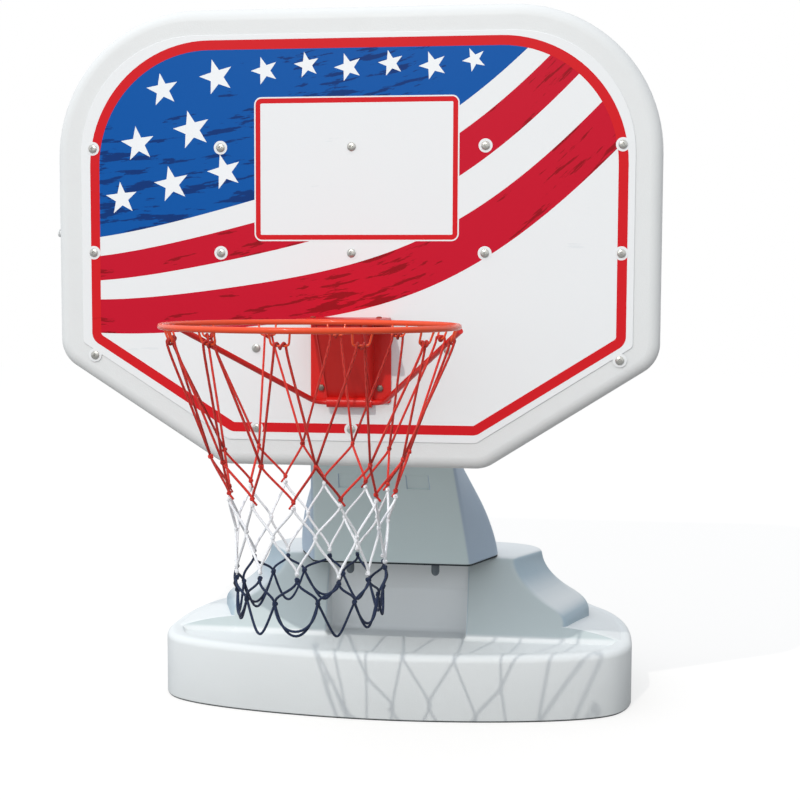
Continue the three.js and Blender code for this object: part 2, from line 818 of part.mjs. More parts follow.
// Level ring of the tower, thinned by a wall
function towerRing(z, sideHalf, thin, level) {
  const front = towerFrontAt(z) + thin;
  const back = towerFrontAt(z) + towerDepthAt(z) - thin;
  const frontHalf = towerFrontHalfAt(z) - thin;
  const widest = Math.max(sideHalf, towerFrontHalfAt(z) + touchGap) - thin;
  const sideShare = towerSideBack / towerFootDepth;
  const backHalf = widest * towerBackShare;
  const right = [
    [frontHalf - towerEdge, front],
    [frontHalf, front + towerEdge],
    [widest, front + (back - front) * sideShare],
    [backHalf, back - towerEdge],
    [backHalf - towerEdge, back],
  ];
  const left = right.map(([x, y]) => [-x, y]).reverse();
  return [...right, ...left].map(([x, y]) => [x, y, level]);
}

const towerLevels = [
  ...shoulderLifts.map((lift, i) => [towerFootHeight + lift, shoulderHalves[i]]),
  [towerKneeHeight, 0],
  [towerMountBottom, 0],
  [towerMountTop, 0],
];

// Body of the tower from its foot to its top
function towerBody(thin) {
  const rings = towerLevels.map(([height, side]) => towerRing(height, side, thin, height));
  if (thin) {
    rings[0] = towerRing(towerFootHeight, shoulderHalves[0], thin, towerFootHeight + thin);
    rings[rings.length - 1] = towerRing(towerMountTop, 0, thin, towerMountTop - thin);
  }
  return solidOf(ringStack(rings));
}

// Block sunk into the leaning front face
function patch(x) {
  const bottom = patchMiddle - half(patchHeight);
  const top = patchMiddle + half(patchHeight);
  const outline = [
    [towerFrontAt(bottom) - cutOver, bottom],
    [towerFrontAt(bottom) + patchDepth, bottom],
    [towerFrontAt(top) + patchDepth, top],
    [towerFrontAt(top) - cutOver, top],
  ];
  return sidePlate(outline, x - half(patchWidth), x + half(patchWidth));
}

// Hollow tower with its flange at the board and its stub in the pedestal
function tower() {
  const footHeight = towerFootHeight;
  const stub = (thin, lift) =>
    box(
      [-stubHalf + thin, stubFront + thin, footHeight - stubDrop - lift],
      [stubHalf - thin, stubBack - thin, footHeight + 2 * towerWall],
    );
  const flange = box(
    [-flangeHalf, boardBackY + touchGap, towerMountBottom],
    [flangeHalf, boardBackY + touchGap + flangeThickness, towerMountTop],
  );
  const pegHoles = [-pegOffset, pegOffset].map((x) =>
    solidOf(
      rod(boltShankRadius + boltClearance, -cutOver, 2 * towerWall, pegSides)
        .translate(x, towerFootFront + pegFront, footHeight),
    ),
  );
  const boltHoles = bores(
    towerBoltSpots, boltShankRadius, boardBackY - cutOver, boardBackY + flangeThickness + cutOver,
  );
  return cutBy(joined([towerBody(0), stub(0, 0)]).subtract(towerBody(towerWall)), [
    stub(towerWall, cutOver), ...[-patchOffset, patchOffset].map(patch), ...pegHoles,
  ]).add(flange).subtract(joined(boltHoles));
}

// Bolt through the tower's flange into the back of the board
function towerBolt([x, z]) {
  const flangeBack = boardBackY + touchGap + flangeThickness;
  const back = (geometry) =>
    solidOf(geometry.rotateX(-Math.PI / 2).translate(x, flangeBack + touchGap, z));
  return joined([
    back(rod(hexRadius, 0, boltHeadHeight, hexSides)),
    back(rod(boltShankRadius, -towerBoltReach, half(boltHeadHeight), boltSides)),
  ]);
}

// Rounded peg screwed up into the underside of the tower's front edge
function towerPeg(x) {
  const profile = [
    [0, -pegLength],
    ...pegTipShares.map(([out, down]) => [out * pegRadius, -down * pegLength]),
    [pegRadius, -touchGap],
    [boltShankRadius, -touchGap],
    [boltShankRadius, towerWall],
    [0, towerWall],
  ];
  return solidOf(
    turned(profile, pegSides).translate(x, towerFootFront + pegFront, towerFootHeight),
  );
}

// Tank outline from above: right half from the front centre to the back centre
function tankHalfPlan() {
  const at = ([side, depth]) =>
    new THREE.Vector2(side * tankHalfWidth, depth * (depth < 0 ? tankFront : tankBack));
  const front = new THREE.CubicBezierCurve(...tankFrontShares.map(at));
  const corner = new THREE.QuadraticBezierCurve(...tankCornerShares.map(at));
  const side = new THREE.CubicBezierCurve(...tankSideShares.map(at));
  const rear = new THREE.CubicBezierCurve(...tankRearShares.map(at));
  return [
    ...front.getPoints(tankFrontSteps), ...corner.getPoints(tankCornerSteps).slice(1),
    ...side.getPoints(tankSideSteps).slice(1), ...rear.getPoints(tankRearSteps).slice(1),
    at([0, 1]),
  ];
}

// Whole closed outline from a right half that starts and ends on the middle line
const mirrored = (right) => [
  ...right,
  ...right.slice(1, -1).reverse().map((point) => new THREE.Vector2(-point.x, point.y)),
];

// Outline moved inward along its normals
function insetPlan(plan, inset) {
  return plan.map((point, i) => {
    const before = plan[(i + plan.length - 1) % plan.length];
    const after = plan[(i + 1) % plan.length];
    const along = after.clone().sub(before).normalize();
    return [point.x - along.y * inset, point.y + along.x * inset];
  });
}

const tankPlan = mirrored(tankHalfPlan());
const tankRing = (inset, z) => insetPlan(tankPlan, inset).map(([x, y]) => [x, y, z]);

// Outside of the tank with its raised lip and its sunken deck
function tankOuter() {
  const edge = tankHeight - tankEdge;
  return solidOf(ringStack([
    tankRing(tankFootEdge, 0),
    tankRing(0, tankFootEdge),
    tankRing(0, edge),
    ...tankEdgeShares.map(([inward, up]) => tankRing(tankEdge * inward, edge + tankEdge * up)),
    tankRing(tankEdge, tankHeight),
    tankRing(lipWidth, tankHeight),
    tankRing(lipWidth + deckSlope, deckHeight),
  ]));
}

// Room inside the tank
function tankInner() {
  const top = deckHeight - tankWall;
  return solidOf(ringStack([
    tankRing(tankFootEdge + tankWall, tankWall),
    tankRing(tankWall, tankFootEdge + tankWall),
    tankRing(tankWall, top - tankEdge),
    tankRing(tankWall + tankEdge, top),
  ]));
}

// Level ring of the pedestal at a flare between 0 at the top and 1 at the foot. Its front leans back
function pedestalRing(flare, thin, z) {
  const frontHalf = pedestalTopHalf + pedestalFlare * flare - thin;
  const middleHalf = pedestalTopMid + pedestalMidFlare * flare - thin;
  const back = pedestalTopBack + pedestalBackFlare * flare - thin;
  const rise = Math.max(z - deckHeight, 0) / (towerFootHeight - deckHeight);
  const front = thin - pedestalFront + pedestalLean * rise;
  const bend = new THREE.QuadraticBezierCurve(
    new THREE.Vector2(middleHalf, pedestalMidBack),
    new THREE.Vector2(middleHalf, back),
    new THREE.Vector2(middleHalf * pedestalBackShare, back),
  );
  const right = [
    new THREE.Vector2(0, front),
    new THREE.Vector2(frontHalf - pedestalEdge, front),
    new THREE.Vector2(frontHalf, front + pedestalEdge),
    ...bend.getPoints(pedestalSteps),
    new THREE.Vector2(0, back),
  ];
  return mirrored(right).map(({ x, y }) => [x, y, z]);
}

// Pedestal: straight foot, then a flank curving in as it rises
function pedestal(thin, bottom) {
  const top = towerFootHeight - touchGap - thin;
  const rings = [pedestalRing(1, thin, bottom)];
  for (let step = 0; step <= pedestalSteps; step += 1) {
    const rise = step / pedestalSteps;
    const height = pedestalFootHeight + (top - pedestalFootHeight) * rise;
    rings.push(pedestalRing((1 - rise) ** 2, thin, height));
  }
  return solidOf(ringStack(rings));
}

// Level ring of a raised deck on one side, moved inward and thinned by a wall
function sideDeckRing(sign, inward, thin, z) {
  const shorter = 1 - sideDeckBackShare * inward;
  const front = sideDeckEdge[0][1];
  const edge = sideDeckEdge.map(([x, y]) => [x - inward - thin, front + (y - front) * shorter]);
  edge[0][1] += thin;
  const last = edge[edge.length - 1];
  last[1] -= thin;
  const right = [[sideDeckInner, front + thin], ...edge, [sideDeckInner, last[1]]];
  const points = right.map(([x, y]) => [sign * x, y, z]);
  return sign > 0 ? points : points.reverse();
}

// Raised decks beside the pedestal, up from a bottom level
const sideDecks = (thin, bottom) =>
  joined([-1, 1].map((sign) =>
    solidOf(ringStack([
      sideDeckRing(sign, sideDeckSteps[0][0], thin, bottom),
      ...sideDeckSteps.map(([inward, z]) => sideDeckRing(sign, inward, thin, z - thin)),
    ])),
  ));

// Alcove in the middle of the pedestal's front
function alcove(grow) {
  const low = deckHeight - grow;
  const front = -pedestalFront - cutOver - grow;
  return joined([
    box([-alcoveHalf - grow, front, low],
      [alcoveHalf + grow, alcoveBack + grow, alcoveStepHeight]),
    box([-alcoveHalf - grow, front, alcoveStepHeight - cutOver],
      [alcoveHalf + grow, alcoveBack - alcoveStep + grow, towerFootHeight + cutOver]),
  ]);
}

// Tank and pedestal in one hollow body
function tank() {
  const outer = joined([
    tankOuter(), pedestal(0, deckHeight - half(tankWall)), sideDecks(0, deckHeight - half(tankWall)),
  ]);
  const inner = joined([
    tankInner(), pedestal(tankWall, deckHeight - 2 * tankWall),
    sideDecks(tankWall, deckHeight - 2 * tankWall),
  ]);
  const socket = box(
    [-stubHalf - touchGap, stubFront - touchGap, towerFootHeight - stubDrop],
    [stubHalf + touchGap, stubBack + touchGap, towerFootHeight + cutOver],
  );
  const fillHole = solidOf(
    rod(portRadius, deckHeight - 2 * tankWall, tankHeight, capSides).translate(fillX, fillY, 0),
  );
  const drainHole = solidOf(
    rod(portRadius * plugScaleShare, -2 * tankWall, 2 * tankWall, capSides)
      .rotateX(-Math.PI / 2)
      .translate(drainX, tankBack, drainHeight),
  );
  return cutBy(outer.subtract(alcove(0)), [
    inner.subtract(alcove(tankWall)), socket, fillHole, drainHole,
  ]);
}

// Sand that weighs the tank down
const sand = () =>
  solidOf(ringStack([tankRing(sandInset, tankWall + touchGap), tankRing(sandInset, sandHeight)]));

// Screw cap with a grip bar and a skirt in its port, along Z
function capSolid(scale, turn) {
  const skirt = portRadius * scale - touchGap;
  const lift = gasketHeight + 2 * touchGap;
  const body = rod(capRadius * scale, lift, lift + capHeight * scale, capSides);
  const stem = rod(skirt, -capSkirt * scale, lift + half(capHeight * scale), capSides);
  const grip = new THREE.BoxGeometry(
    2 * capGripHalf * scale, capGripThickness * scale, capGripHeight * scale + capHeight * scale,
  ).translate(0, 0, lift + half((capGripHeight + capHeight) * scale) + touchGap);
  return joined([body, stem, grip].map((geometry) => solidOf(turn(geometry))));
}

// Flat ring under a cap, along Z
function gasketSolid(scale, turn) {
  const ring = (radius, low, high) => solidOf(turn(rod(radius, low, high, capSides)));
  return ring(capRadius * scale, touchGap, touchGap + gasketHeight)
    .subtract(ring(portRadius * scale, -cutOver, gasketHeight + cutOver));
}

const onDeck = (geometry) => geometry.translate(fillX, fillY, deckHeight);
const onBack = (geometry) =>
  geometry.rotateX(-Math.PI / 2).translate(drainX, tankBack, drainHeight);

// All pieces
function build() {
  const group = new THREE.Group();
  const sides = [["left", -1], ["right", 1]];
  piece(group, "base_tank", tank(), looks.tank);
  piece(group, "ballast_sand", sand(), looks.sand);
  piece(group, "tower", tower(), looks.tower);
  piece(group, "board_shell", boardShell(), looks.shell);
  piece(group, "face_panel", facePanel(), looks.panel);
  piece(group, "vent_plug", ventPlug(), looks.dark);
  screwSpots.forEach((spot, i) =>
    piece(group, `face_screw_${String(i + 1).padStart(2, "0")}`, faceScrew(spot), looks.steel));
  piece(group, "rim_ring", rimRing(), looks.rim);
  piece(group, "rim_bracket", rimBracket(), looks.bracket);
  piece(group, "rim_brace", rimBrace(), looks.bracket);
  sides.forEach(([side, sign]) =>
    piece(group, `top_bolt_${side}`, topBolt(sign * topBoltOffset), looks.steel));
  boltSpots.forEach((spot, i) => {
    piece(group, `bracket_bolt_${i + 1}`, bracketBolt(spot), looks.steel);
    piece(group, `bracket_nut_${i + 1}`, bracketNut(spot), looks.steel);
  });
  piece(group, "back_plate", backPlate(), looks.steel);
  towerBoltSpots.forEach((spot, i) =>
    piece(group, `tower_bolt_${i + 1}`, towerBolt(spot), looks.steel));
  sides.forEach(([side, sign]) =>
    piece(group, `tower_peg_${side}`, towerPeg(sign * pegOffset), looks.dark));
  piece(group, "net_red", redNet(), looks.cordRed);
  piece(group, "net_white", whiteNet(), looks.cordWhite);
  piece(group, "net_navy", navyNet(), looks.cordNavy);
  piece(group, "fill_gasket", gasketSolid(1, onDeck), looks.rubber);
  piece(group, "fill_cap", capSolid(1, onDeck), looks.dark);
  piece(group, "drain_gasket", gasketSolid(plugScaleShare, onBack), looks.rubber);
  piece(group, "drain_plug", capSolid(plugScaleShare, onBack), looks.dark);
  return group;
}

export default build();
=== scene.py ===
# %% [markdown]
# # A poolside basketball hoop
# The hoop is a blow-moulded plastic stand with a printed board, a steel rim and a cord net. Its
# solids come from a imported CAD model, which is loaded first and never moved. Each cell below makes
# one visible piece as a surface worked out with numpy, and lets it ride on the body it belongs to.
# Everything is in metres: X to the viewer's right, Y away from the viewer, Z up from the floor.

# %% The frame
import json
import math
from collections import namedtuple

import bmesh
import bpy
import numpy as np
from mathutils import Matrix, Vector
from mathutils.geometry import delaunay_2d_cdt

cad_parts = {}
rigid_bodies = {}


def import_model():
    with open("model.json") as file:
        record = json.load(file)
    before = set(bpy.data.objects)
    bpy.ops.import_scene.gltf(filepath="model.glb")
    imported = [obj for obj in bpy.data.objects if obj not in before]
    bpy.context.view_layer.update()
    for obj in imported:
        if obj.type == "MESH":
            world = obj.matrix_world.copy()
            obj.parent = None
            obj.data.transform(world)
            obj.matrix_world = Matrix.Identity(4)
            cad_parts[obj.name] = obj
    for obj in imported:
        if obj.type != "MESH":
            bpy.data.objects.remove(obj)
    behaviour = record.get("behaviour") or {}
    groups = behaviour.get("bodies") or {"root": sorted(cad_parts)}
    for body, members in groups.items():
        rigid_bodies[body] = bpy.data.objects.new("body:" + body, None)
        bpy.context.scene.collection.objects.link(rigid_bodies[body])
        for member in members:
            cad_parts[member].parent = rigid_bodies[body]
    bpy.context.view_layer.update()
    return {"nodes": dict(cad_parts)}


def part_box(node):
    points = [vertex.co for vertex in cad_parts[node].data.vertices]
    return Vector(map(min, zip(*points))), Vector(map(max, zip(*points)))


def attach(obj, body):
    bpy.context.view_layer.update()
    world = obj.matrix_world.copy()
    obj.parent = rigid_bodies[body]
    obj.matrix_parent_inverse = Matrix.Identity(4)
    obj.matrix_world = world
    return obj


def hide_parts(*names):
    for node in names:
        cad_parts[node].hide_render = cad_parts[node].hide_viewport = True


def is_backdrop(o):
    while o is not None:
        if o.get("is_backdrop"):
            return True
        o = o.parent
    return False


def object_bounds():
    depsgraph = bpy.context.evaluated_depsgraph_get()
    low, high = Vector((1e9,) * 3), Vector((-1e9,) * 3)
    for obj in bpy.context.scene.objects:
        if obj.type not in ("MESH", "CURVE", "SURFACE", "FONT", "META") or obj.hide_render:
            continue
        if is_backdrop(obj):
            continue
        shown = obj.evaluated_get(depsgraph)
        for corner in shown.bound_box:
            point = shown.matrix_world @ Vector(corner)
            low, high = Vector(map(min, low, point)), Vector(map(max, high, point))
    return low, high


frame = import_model()
nodes = frame["nodes"]

# %% [markdown]
# ## Camera
# A product photograph like this is taken from a few metres away with a long lens, so upright lines
# stay almost parallel. The camera stands a little to the right of the hoop, at the height of a
# person's chest, turned to the left and tilted slightly down. The numbers come from fitting one
# pinhole camera to the screw rows, the rim's ellipse and the tank's outline.

# %% Camera
CAMERA_PLACE = (0.451, -3.447, 0.939)
CAMERA_YAW, CAMERA_PITCH, CAMERA_ROLL = math.radians(7.70), math.radians(4.56), math.radians(0.22)
SENSOR = 36.0
FOCAL_SHARE = 1475 / 800  # focal length as a share of the frame's width

camera_data = bpy.data.cameras.new("camera")
camera_data.sensor_width = SENSOR
camera_data.lens = FOCAL_SHARE * SENSOR
camera = bpy.data.objects.new("camera", camera_data)
bpy.context.scene.collection.objects.link(camera)
camera.matrix_world = (
    Matrix.Translation(CAMERA_PLACE)
    @ Matrix.Rotation(CAMERA_YAW, 4, "Z")
    @ Matrix.Rotation(math.pi / 2 - CAMERA_PITCH, 4, "X")
    @ Matrix.Rotation(CAMERA_ROLL, 4, "Z")
)
bpy.context.scene.camera = camera
print("camera: lens", round(camera_data.lens, 2), "mm")

# %% [markdown]
# ## Light and stage
# The photograph is lit by a small lamp high behind the photographer's left shoulder, in a room
# whose light comes mostly from above and from the left. The board is bright, the tower stands in
# the board's shade, and the net throws thin shadows on the front of the tank. A point lamp does
# the one, with a steady strength at every distance, and a sky that fades toward one side does the
# other. Rays from the camera see plain white behind the hoop, and the floor adds some white of its
# own for the camera alone, so that it stays pale and still shows the shadow.

# %% Light and stage
LAMP_PLACE = (-0.37, -3.40, 2.64)
LAMP_RADIUS = 0.012
LAMP_STRENGTH = 1.15
LAMP_COLOUR = (1.0, 0.965, 0.90)
SKY_WAY = (-0.497, -0.348, 0.795)
SKY_FROM, SKY_TO, SKY_DARK, SKY_BRIGHT = -0.5, 1.0, 0.12, 1.55
SKY_COLOUR = (0.91, 0.955, 1.0, 1)
FLOOR_COLOUR = (0.32, 0.31, 0.30, 1)
FLOOR_LIFT = 0.66
FLOOR_HALF = 12.0

scene = bpy.context.scene
scene.view_settings.view_transform = "Standard"


class Wire:
    """Output socket of a node. Sums, differences and products with wires and numbers are Math nodes."""

    def __init__(self, socket):
        self.socket = socket
        self.tree = socket.id_data

    def math(self, operation, *inputs):
        """Wire from a new Math node that works on this one, or on the inputs given."""
        inputs = dict(enumerate(inputs or (self,)))
        return wire(self.tree, "ShaderNodeMath", inputs, operation=operation)

    def __add__(self, other):
        return self.math("ADD", self, other)

    def __sub__(self, other):
        return self.math("SUBTRACT", self, other)

    def __rsub__(self, other):
        return self.math("SUBTRACT", other, self)

    def __mul__(self, other):
        return self.math("MULTIPLY", self, other)

    def higher(self, other):
        """The higher one of two."""
        return self.math("MAXIMUM", self, other)


def add(tree, kind, inputs=None, **settings):
    """Adds a node. inputs maps a socket's name or number to a value or to a wire."""
    made = tree.nodes.new(kind)
    for key, value in settings.items():
        setattr(made, key, value)
    for key, value in (inputs or {}).items():
        if isinstance(value, Wire):
            tree.links.new(value.socket, made.inputs[key])
        else:
            made.inputs[key].default_value = value
    return made


def wire(tree, kind, inputs=None, output=0, **settings):
    """Wire from a new node."""
    return Wire(add(tree, kind, inputs, **settings).outputs[output])


def seen_directly(tree):
    """1 where a ray comes from the camera, off a gloss or through glass, else 0."""
    camera_ray, gloss, glass = (wire(tree, "ShaderNodeLightPath", output=f"Is {kind} Ray")
                                for kind in ("Camera", "Glossy", "Transmission"))
    return camera_ray.higher(gloss).higher(glass)


lamp_data = bpy.data.lights.new("lamp", "POINT")
lamp_data.energy = 4 * math.pi * LAMP_STRENGTH
lamp_data.shadow_soft_size = LAMP_RADIUS
lamp_data.color = LAMP_COLOUR
lamp_data.use_nodes = True
beam = lamp_data.node_tree
beam.nodes.clear()
steady = wire(beam, "ShaderNodeLightFalloff", {"Strength": 1.0}, "Constant")
add(beam, "ShaderNodeOutputLight", {"Surface": wire(beam, "ShaderNodeEmission", {"Strength": steady})})


def place_lamp(name):
    """Object that holds the lamp's data at its place."""
    placed = bpy.data.objects.new(name, lamp_data)
    scene.collection.objects.link(placed)
    placed.location = LAMP_PLACE
    return placed


lamp = place_lamp("lamp")
world = bpy.data.worlds.new("sky")
scene.world = world
world.use_nodes = True
sky = world.node_tree
sky.nodes.clear()
way = wire(sky, "ShaderNodeTexCoord", output="Generated")
toward = wire(sky, "ShaderNodeVectorMath", {0: way, 1: SKY_WAY}, "Value", operation="DOT_PRODUCT")
strength = wire(sky, "ShaderNodeMapRange", {"Value": toward, "From Min": SKY_FROM, "From Max": SKY_TO,
                                            "To Min": SKY_DARK, "To Max": SKY_BRIGHT})
light_sky = wire(sky, "ShaderNodeBackground", {"Color": SKY_COLOUR, "Strength": strength})
white_sky = wire(sky, "ShaderNodeBackground", {"Color": (1, 1, 1, 1), "Strength": 1.0})
either = wire(sky, "ShaderNodeMixShader", {0: seen_directly(sky), 1: light_sky, 2: white_sky})
add(sky, "ShaderNodeOutputWorld", {"Surface": either})


def floor_material():
    """Matt white that adds a little of its own light for the camera."""
    look = bpy.data.materials.new("studio_floor")
    look.use_nodes = True
    tree = look.node_tree
    tree.nodes.clear()
    lift = wire(tree, "ShaderNodeLightPath", output="Is Camera Ray") * FLOOR_LIFT
    matt = wire(tree, "ShaderNodeBsdfDiffuse", {"Color": FLOOR_COLOUR})
    glow = wire(tree, "ShaderNodeEmission", {"Color": (1, 1, 1, 1), "Strength": lift})
    both = wire(tree, "ShaderNodeAddShader", {0: matt, 1: glow})
    add(tree, "ShaderNodeOutputMaterial", {"Surface": both})
    return look


floor_mesh = bpy.data.meshes.new("studio_floor")
floor_corners = [(x * FLOOR_HALF, y * FLOOR_HALF, 0) for x, y in ((-1, -1), (1, -1), (1, 1), (-1, 1))]
floor_mesh.from_pydata(floor_corners, [], [(0, 1, 2, 3)])
floor_mesh.materials.append(floor_material())
floor = bpy.data.objects.new("studio_floor", floor_mesh)
scene.collection.objects.link(floor)
floor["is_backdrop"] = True
print("stage: floor and sky ready")

# %% [markdown]
# ## From arrays to a mesh
# Every shape below is a grid of points: a profile carried along a path, or an outline that changes
# from ring to ring. The helpers turn such grids into faces and put several of them into one mesh.
# Doubled points along seams and at poles are merged, and the faces are turned outwards.

# %% Mesh helpers
Part = namedtuple("Part", "points faces uvs")
WELD = 1e-6
CREASE = math.radians(32)


def grid_part(points, close_rows=False, close_columns=False, uv_size=(1.0, 1.0)):
    """Part from a grid of points (rows, columns, 3). Quads join neighbouring points, and a closed
    direction joins its last line to its first. UV is the place in the grid, from 0 to uv_size."""
    rows, columns = points.shape[:2]
    r = np.arange(rows if close_rows else rows - 1)
    c = np.arange(columns if close_columns else columns - 1)
    r, c = (a.ravel() for a in np.meshgrid(r, c, indexing="ij"))
    corner_r = np.stack([r, r, r + 1, r + 1], axis=1)
    corner_c = np.stack([c, c + 1, c + 1, c], axis=1)
    faces = (corner_r % rows) * columns + corner_c % columns
    across = corner_c / max(columns - (not close_columns), 1) * uv_size[0]
    along = corner_r / max(rows - (not close_rows), 1) * uv_size[1]
    return Part(points.reshape(-1, 3), [faces], [np.stack([across, along], axis=-1)])


def ring_stack(rings, caps=(True, True)):
    """Part from closed rings (levels, points, 3): a tube of quads with one flat face at each end."""
    rings = np.asarray(rings)
    side = grid_part(rings, close_columns=True)
    count = rings.shape[1]
    ends = [np.arange(count)[None], (len(rings) - 1) * count + np.arange(count)[None]]
    kept = [end for end, wanted in zip(ends, caps) if wanted]
    return Part(side.points, side.faces + kept, side.uvs + [np.zeros(k.shape + (2,)) for k in kept])


def together(parts):
    """One part from several: each part's point numbers are raised by the points before it."""
    starts = np.cumsum([0] + [len(part.points) for part in parts])
    return Part(
        np.concatenate([part.points for part in parts]),
        [face + start for part, start in zip(parts, starts) for face in part.faces],
        [uv for part in parts for uv in part.uvs],
    )


def dress(obj, material, body="stand", replaces=()):
    """Gives a piece its material, its body and the CAD nodes that it stands for."""
    obj.data.materials.clear()
    obj.data.materials.append(material)
    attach(obj, body)
    if replaces:
        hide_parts(*replaces)


def make(name, part, material, body="stand", replaces=(), crease=CREASE):
    """Object from a part, with doubles merged, faces outward, smooth but for its sharp edges."""
    mesh = bpy.data.meshes.new(name)
    sizes = np.concatenate([np.full(len(f), f.shape[1]) for f in part.faces])
    corners = np.concatenate([f.ravel() for f in part.faces])
    mesh.vertices.add(len(part.points))
    mesh.vertices.foreach_set("co", part.points.astype(np.float32).ravel())
    mesh.loops.add(len(corners))
    mesh.loops.foreach_set("vertex_index", corners.astype(np.int32))
    mesh.polygons.add(len(sizes))
    mesh.polygons.foreach_set("loop_start", (np.cumsum(sizes) - sizes).astype(np.int32))
    layer = mesh.uv_layers.new(name="flow")
    layer.data.foreach_set("uv", np.concatenate([u.reshape(-1, 2) for u in part.uvs])
                           .astype(np.float32).ravel())
    mesh.update(calc_edges=True)
    mesh.validate()
    work = bmesh.new()
    work.from_mesh(mesh)
    bmesh.ops.remove_doubles(work, verts=work.verts, dist=WELD)
    bmesh.ops.dissolve_degenerate(work, edges=work.edges, dist=WELD)
    bmesh.ops.recalc_face_normals(work, faces=work.faces)
    work.to_mesh(mesh)
    work.free()
    mesh.shade_smooth()
    mesh.set_sharp_from_angle(angle=crease)
    obj = bpy.data.objects.new(name, mesh)
    scene.collection.objects.link(obj)
    dress(obj, material, body, replaces)
    print(f"{name}: {len(mesh.vertices)} points, {len(mesh.polygons)} faces")


def box_of(node):
    """Low and high corner of a CAD node's box."""
    return [np.array(corner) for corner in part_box(node)]


def middle_of(node):
    """Middle of a CAD node's box."""
    low, high = box_of(node)
    return (low + high) / 2


def unit(vectors):
    """Vectors at length 1."""
    return vectors / np.linalg.norm(vectors, axis=-1, keepdims=True)


def quarter(steps):
    """Sine and cosine of evenly spaced angles from 0 to a right angle."""
    angle = np.linspace(0, np.pi / 2, steps)
    return np.sin(angle), np.cos(angle)


def smooth_step(x, low, high):
    """0 below low, 1 above high, and 3t^2 - 2t^3 between, with t the share of the way."""
    t = np.clip((x - low) / (high - low), 0, 1)
    return t * t * (3 - 2 * t)


# %% [markdown]
# ## Rounded outlines, tubes and turned shapes
# Three recipes make nearly everything here. A rounded outline is a polygon whose corners are arcs:
# moved inward, each arc keeps its centre. A tube is a circle carried along a path, held upright by
# a reference direction. A turned shape is a profile swept round an axis.

# %% Outline, tube and turned shape
def rectangle(left, right, low, high):
    """Its corners, counter-clockwise."""
    return [(left, low), (right, low), (right, high), (left, high)]


def rounded_outline(corners, radii, inset=0.0, steps=24):
    """Outline of a convex polygon listed counter-clockwise. For each corner the arc's centre lies on
    the bisector, radius / cos(half the turn) from the corner, and an inset shrinks the radius."""
    corners, radii = np.asarray(corners, float), np.asarray(radii, float)
    edge = unit(np.roll(corners, -1, axis=0) - corners)
    after = np.stack([-edge[:, 1], edge[:, 0]], axis=1)
    before = np.roll(after, 1, axis=0)
    bisector = unit(before + after)
    reach = (bisector * after).sum(axis=1)
    radius = np.maximum(radii - inset, 1e-4)
    centre = corners + bisector * ((inset + radius) / reach)[:, None]
    start = np.arctan2(-before[:, 1], -before[:, 0])
    sweep = (np.arctan2(-after[:, 1], -after[:, 0]) - start) % (2 * np.pi)
    angle = start[:, None] + sweep[:, None] * np.linspace(0, 1, steps)
    arc = np.stack([np.cos(angle), np.sin(angle)], axis=-1)
    return (centre[:, None] + radius[:, None, None] * arc).reshape(-1, 2)


def tube(path, reference, radius, sides, closed=False):
    """Part of a round tube along a path (points, 3). side = along x reference, up = side x along,
    and the ring at angle a is path + radius (cos a up + sin a side). Open ends close to a point,
    and UV runs once round in X and along the path in metres in Y."""
    path = np.asarray(path, float)
    if closed:
        along = np.roll(path, -1, axis=0) - np.roll(path, 1, axis=0)
    else:
        along = np.gradient(path, axis=0)
    along = unit(along)
    side = unit(np.cross(along, reference))
    up = np.cross(side, along)
    radius = np.broadcast_to(radius, len(path))
    if not closed:
        rows = np.r_[0, np.arange(len(path)), len(path) - 1]
        path, side, up = path[rows], side[rows], up[rows]
        radius = np.r_[0, radius, 0]
    angle = 2 * np.pi * np.arange(sides) / sides
    ring = np.cos(angle)[:, None] * up[:, None] + np.sin(angle)[:, None] * side[:, None]
    length = np.linalg.norm(np.diff(path, axis=0), axis=1).sum()
    return grid_part(path[:, None] + radius[:, None, None] * ring, close_rows=closed,
                     close_columns=True, uv_size=(1.0, length))


LAID = {"Z": ([0, 1, 2], [1, 1, 1]), "Y": ([0, 2, 1], [1, 1, 1]), "-Y": ([0, 2, 1], [1, -1, 1]),
        "-X": ([2, 1, 0], [-1, 1, 1])}


def laid_over(points, axis, place=(0, 0, 0)):
    """Points of a shape that stands along +Z, laid over along the named axis from a place."""
    order, sign = LAID[axis]
    return points[..., order] * sign + np.asarray(place, float)


def turned(profile, sides, place=(0, 0, 0), axis="Z"):
    """Part of a profile of (radius, height) swept round the named axis."""
    profile = np.asarray(profile, float)
    angle = 2 * np.pi * np.arange(sides) / sides
    radius, height = profile[:, :1], profile[:, 1:]
    flat = np.stack([radius * np.cos(angle), radius * np.sin(angle),
                     np.broadcast_to(height, (len(profile), sides))], axis=-1)
    return grid_part(laid_over(flat, axis, place), close_columns=True)


def bezier(controls, steps):
    """Points of the curve whose controls (k, ..., d) are blended with the Bernstein weights
    C(n, k) (1 - t)^(n - k) t^k."""
    controls = np.asarray(controls, float)
    n = len(controls) - 1
    t = np.linspace(0, 1, steps)
    weights = np.stack([math.comb(n, k) * (1 - t) ** (n - k) * t**k for k in range(n + 1)])
    return np.tensordot(weights, controls, axes=(0, 0))


# %% [markdown]
# ## Effects that materials share
# Four node groups carry the fine surface. Moulded skin is the pebbled, faintly cloudy surface of
# blow-moulded plastic. Powder coat is the soft orange peel of baked paint. Braid is the twist of
# strands on a cord. Brush ink is a printed colour broken by long darker strokes. Each puts out only
# a colour, a roughness or a height, and the shader stays in the material.

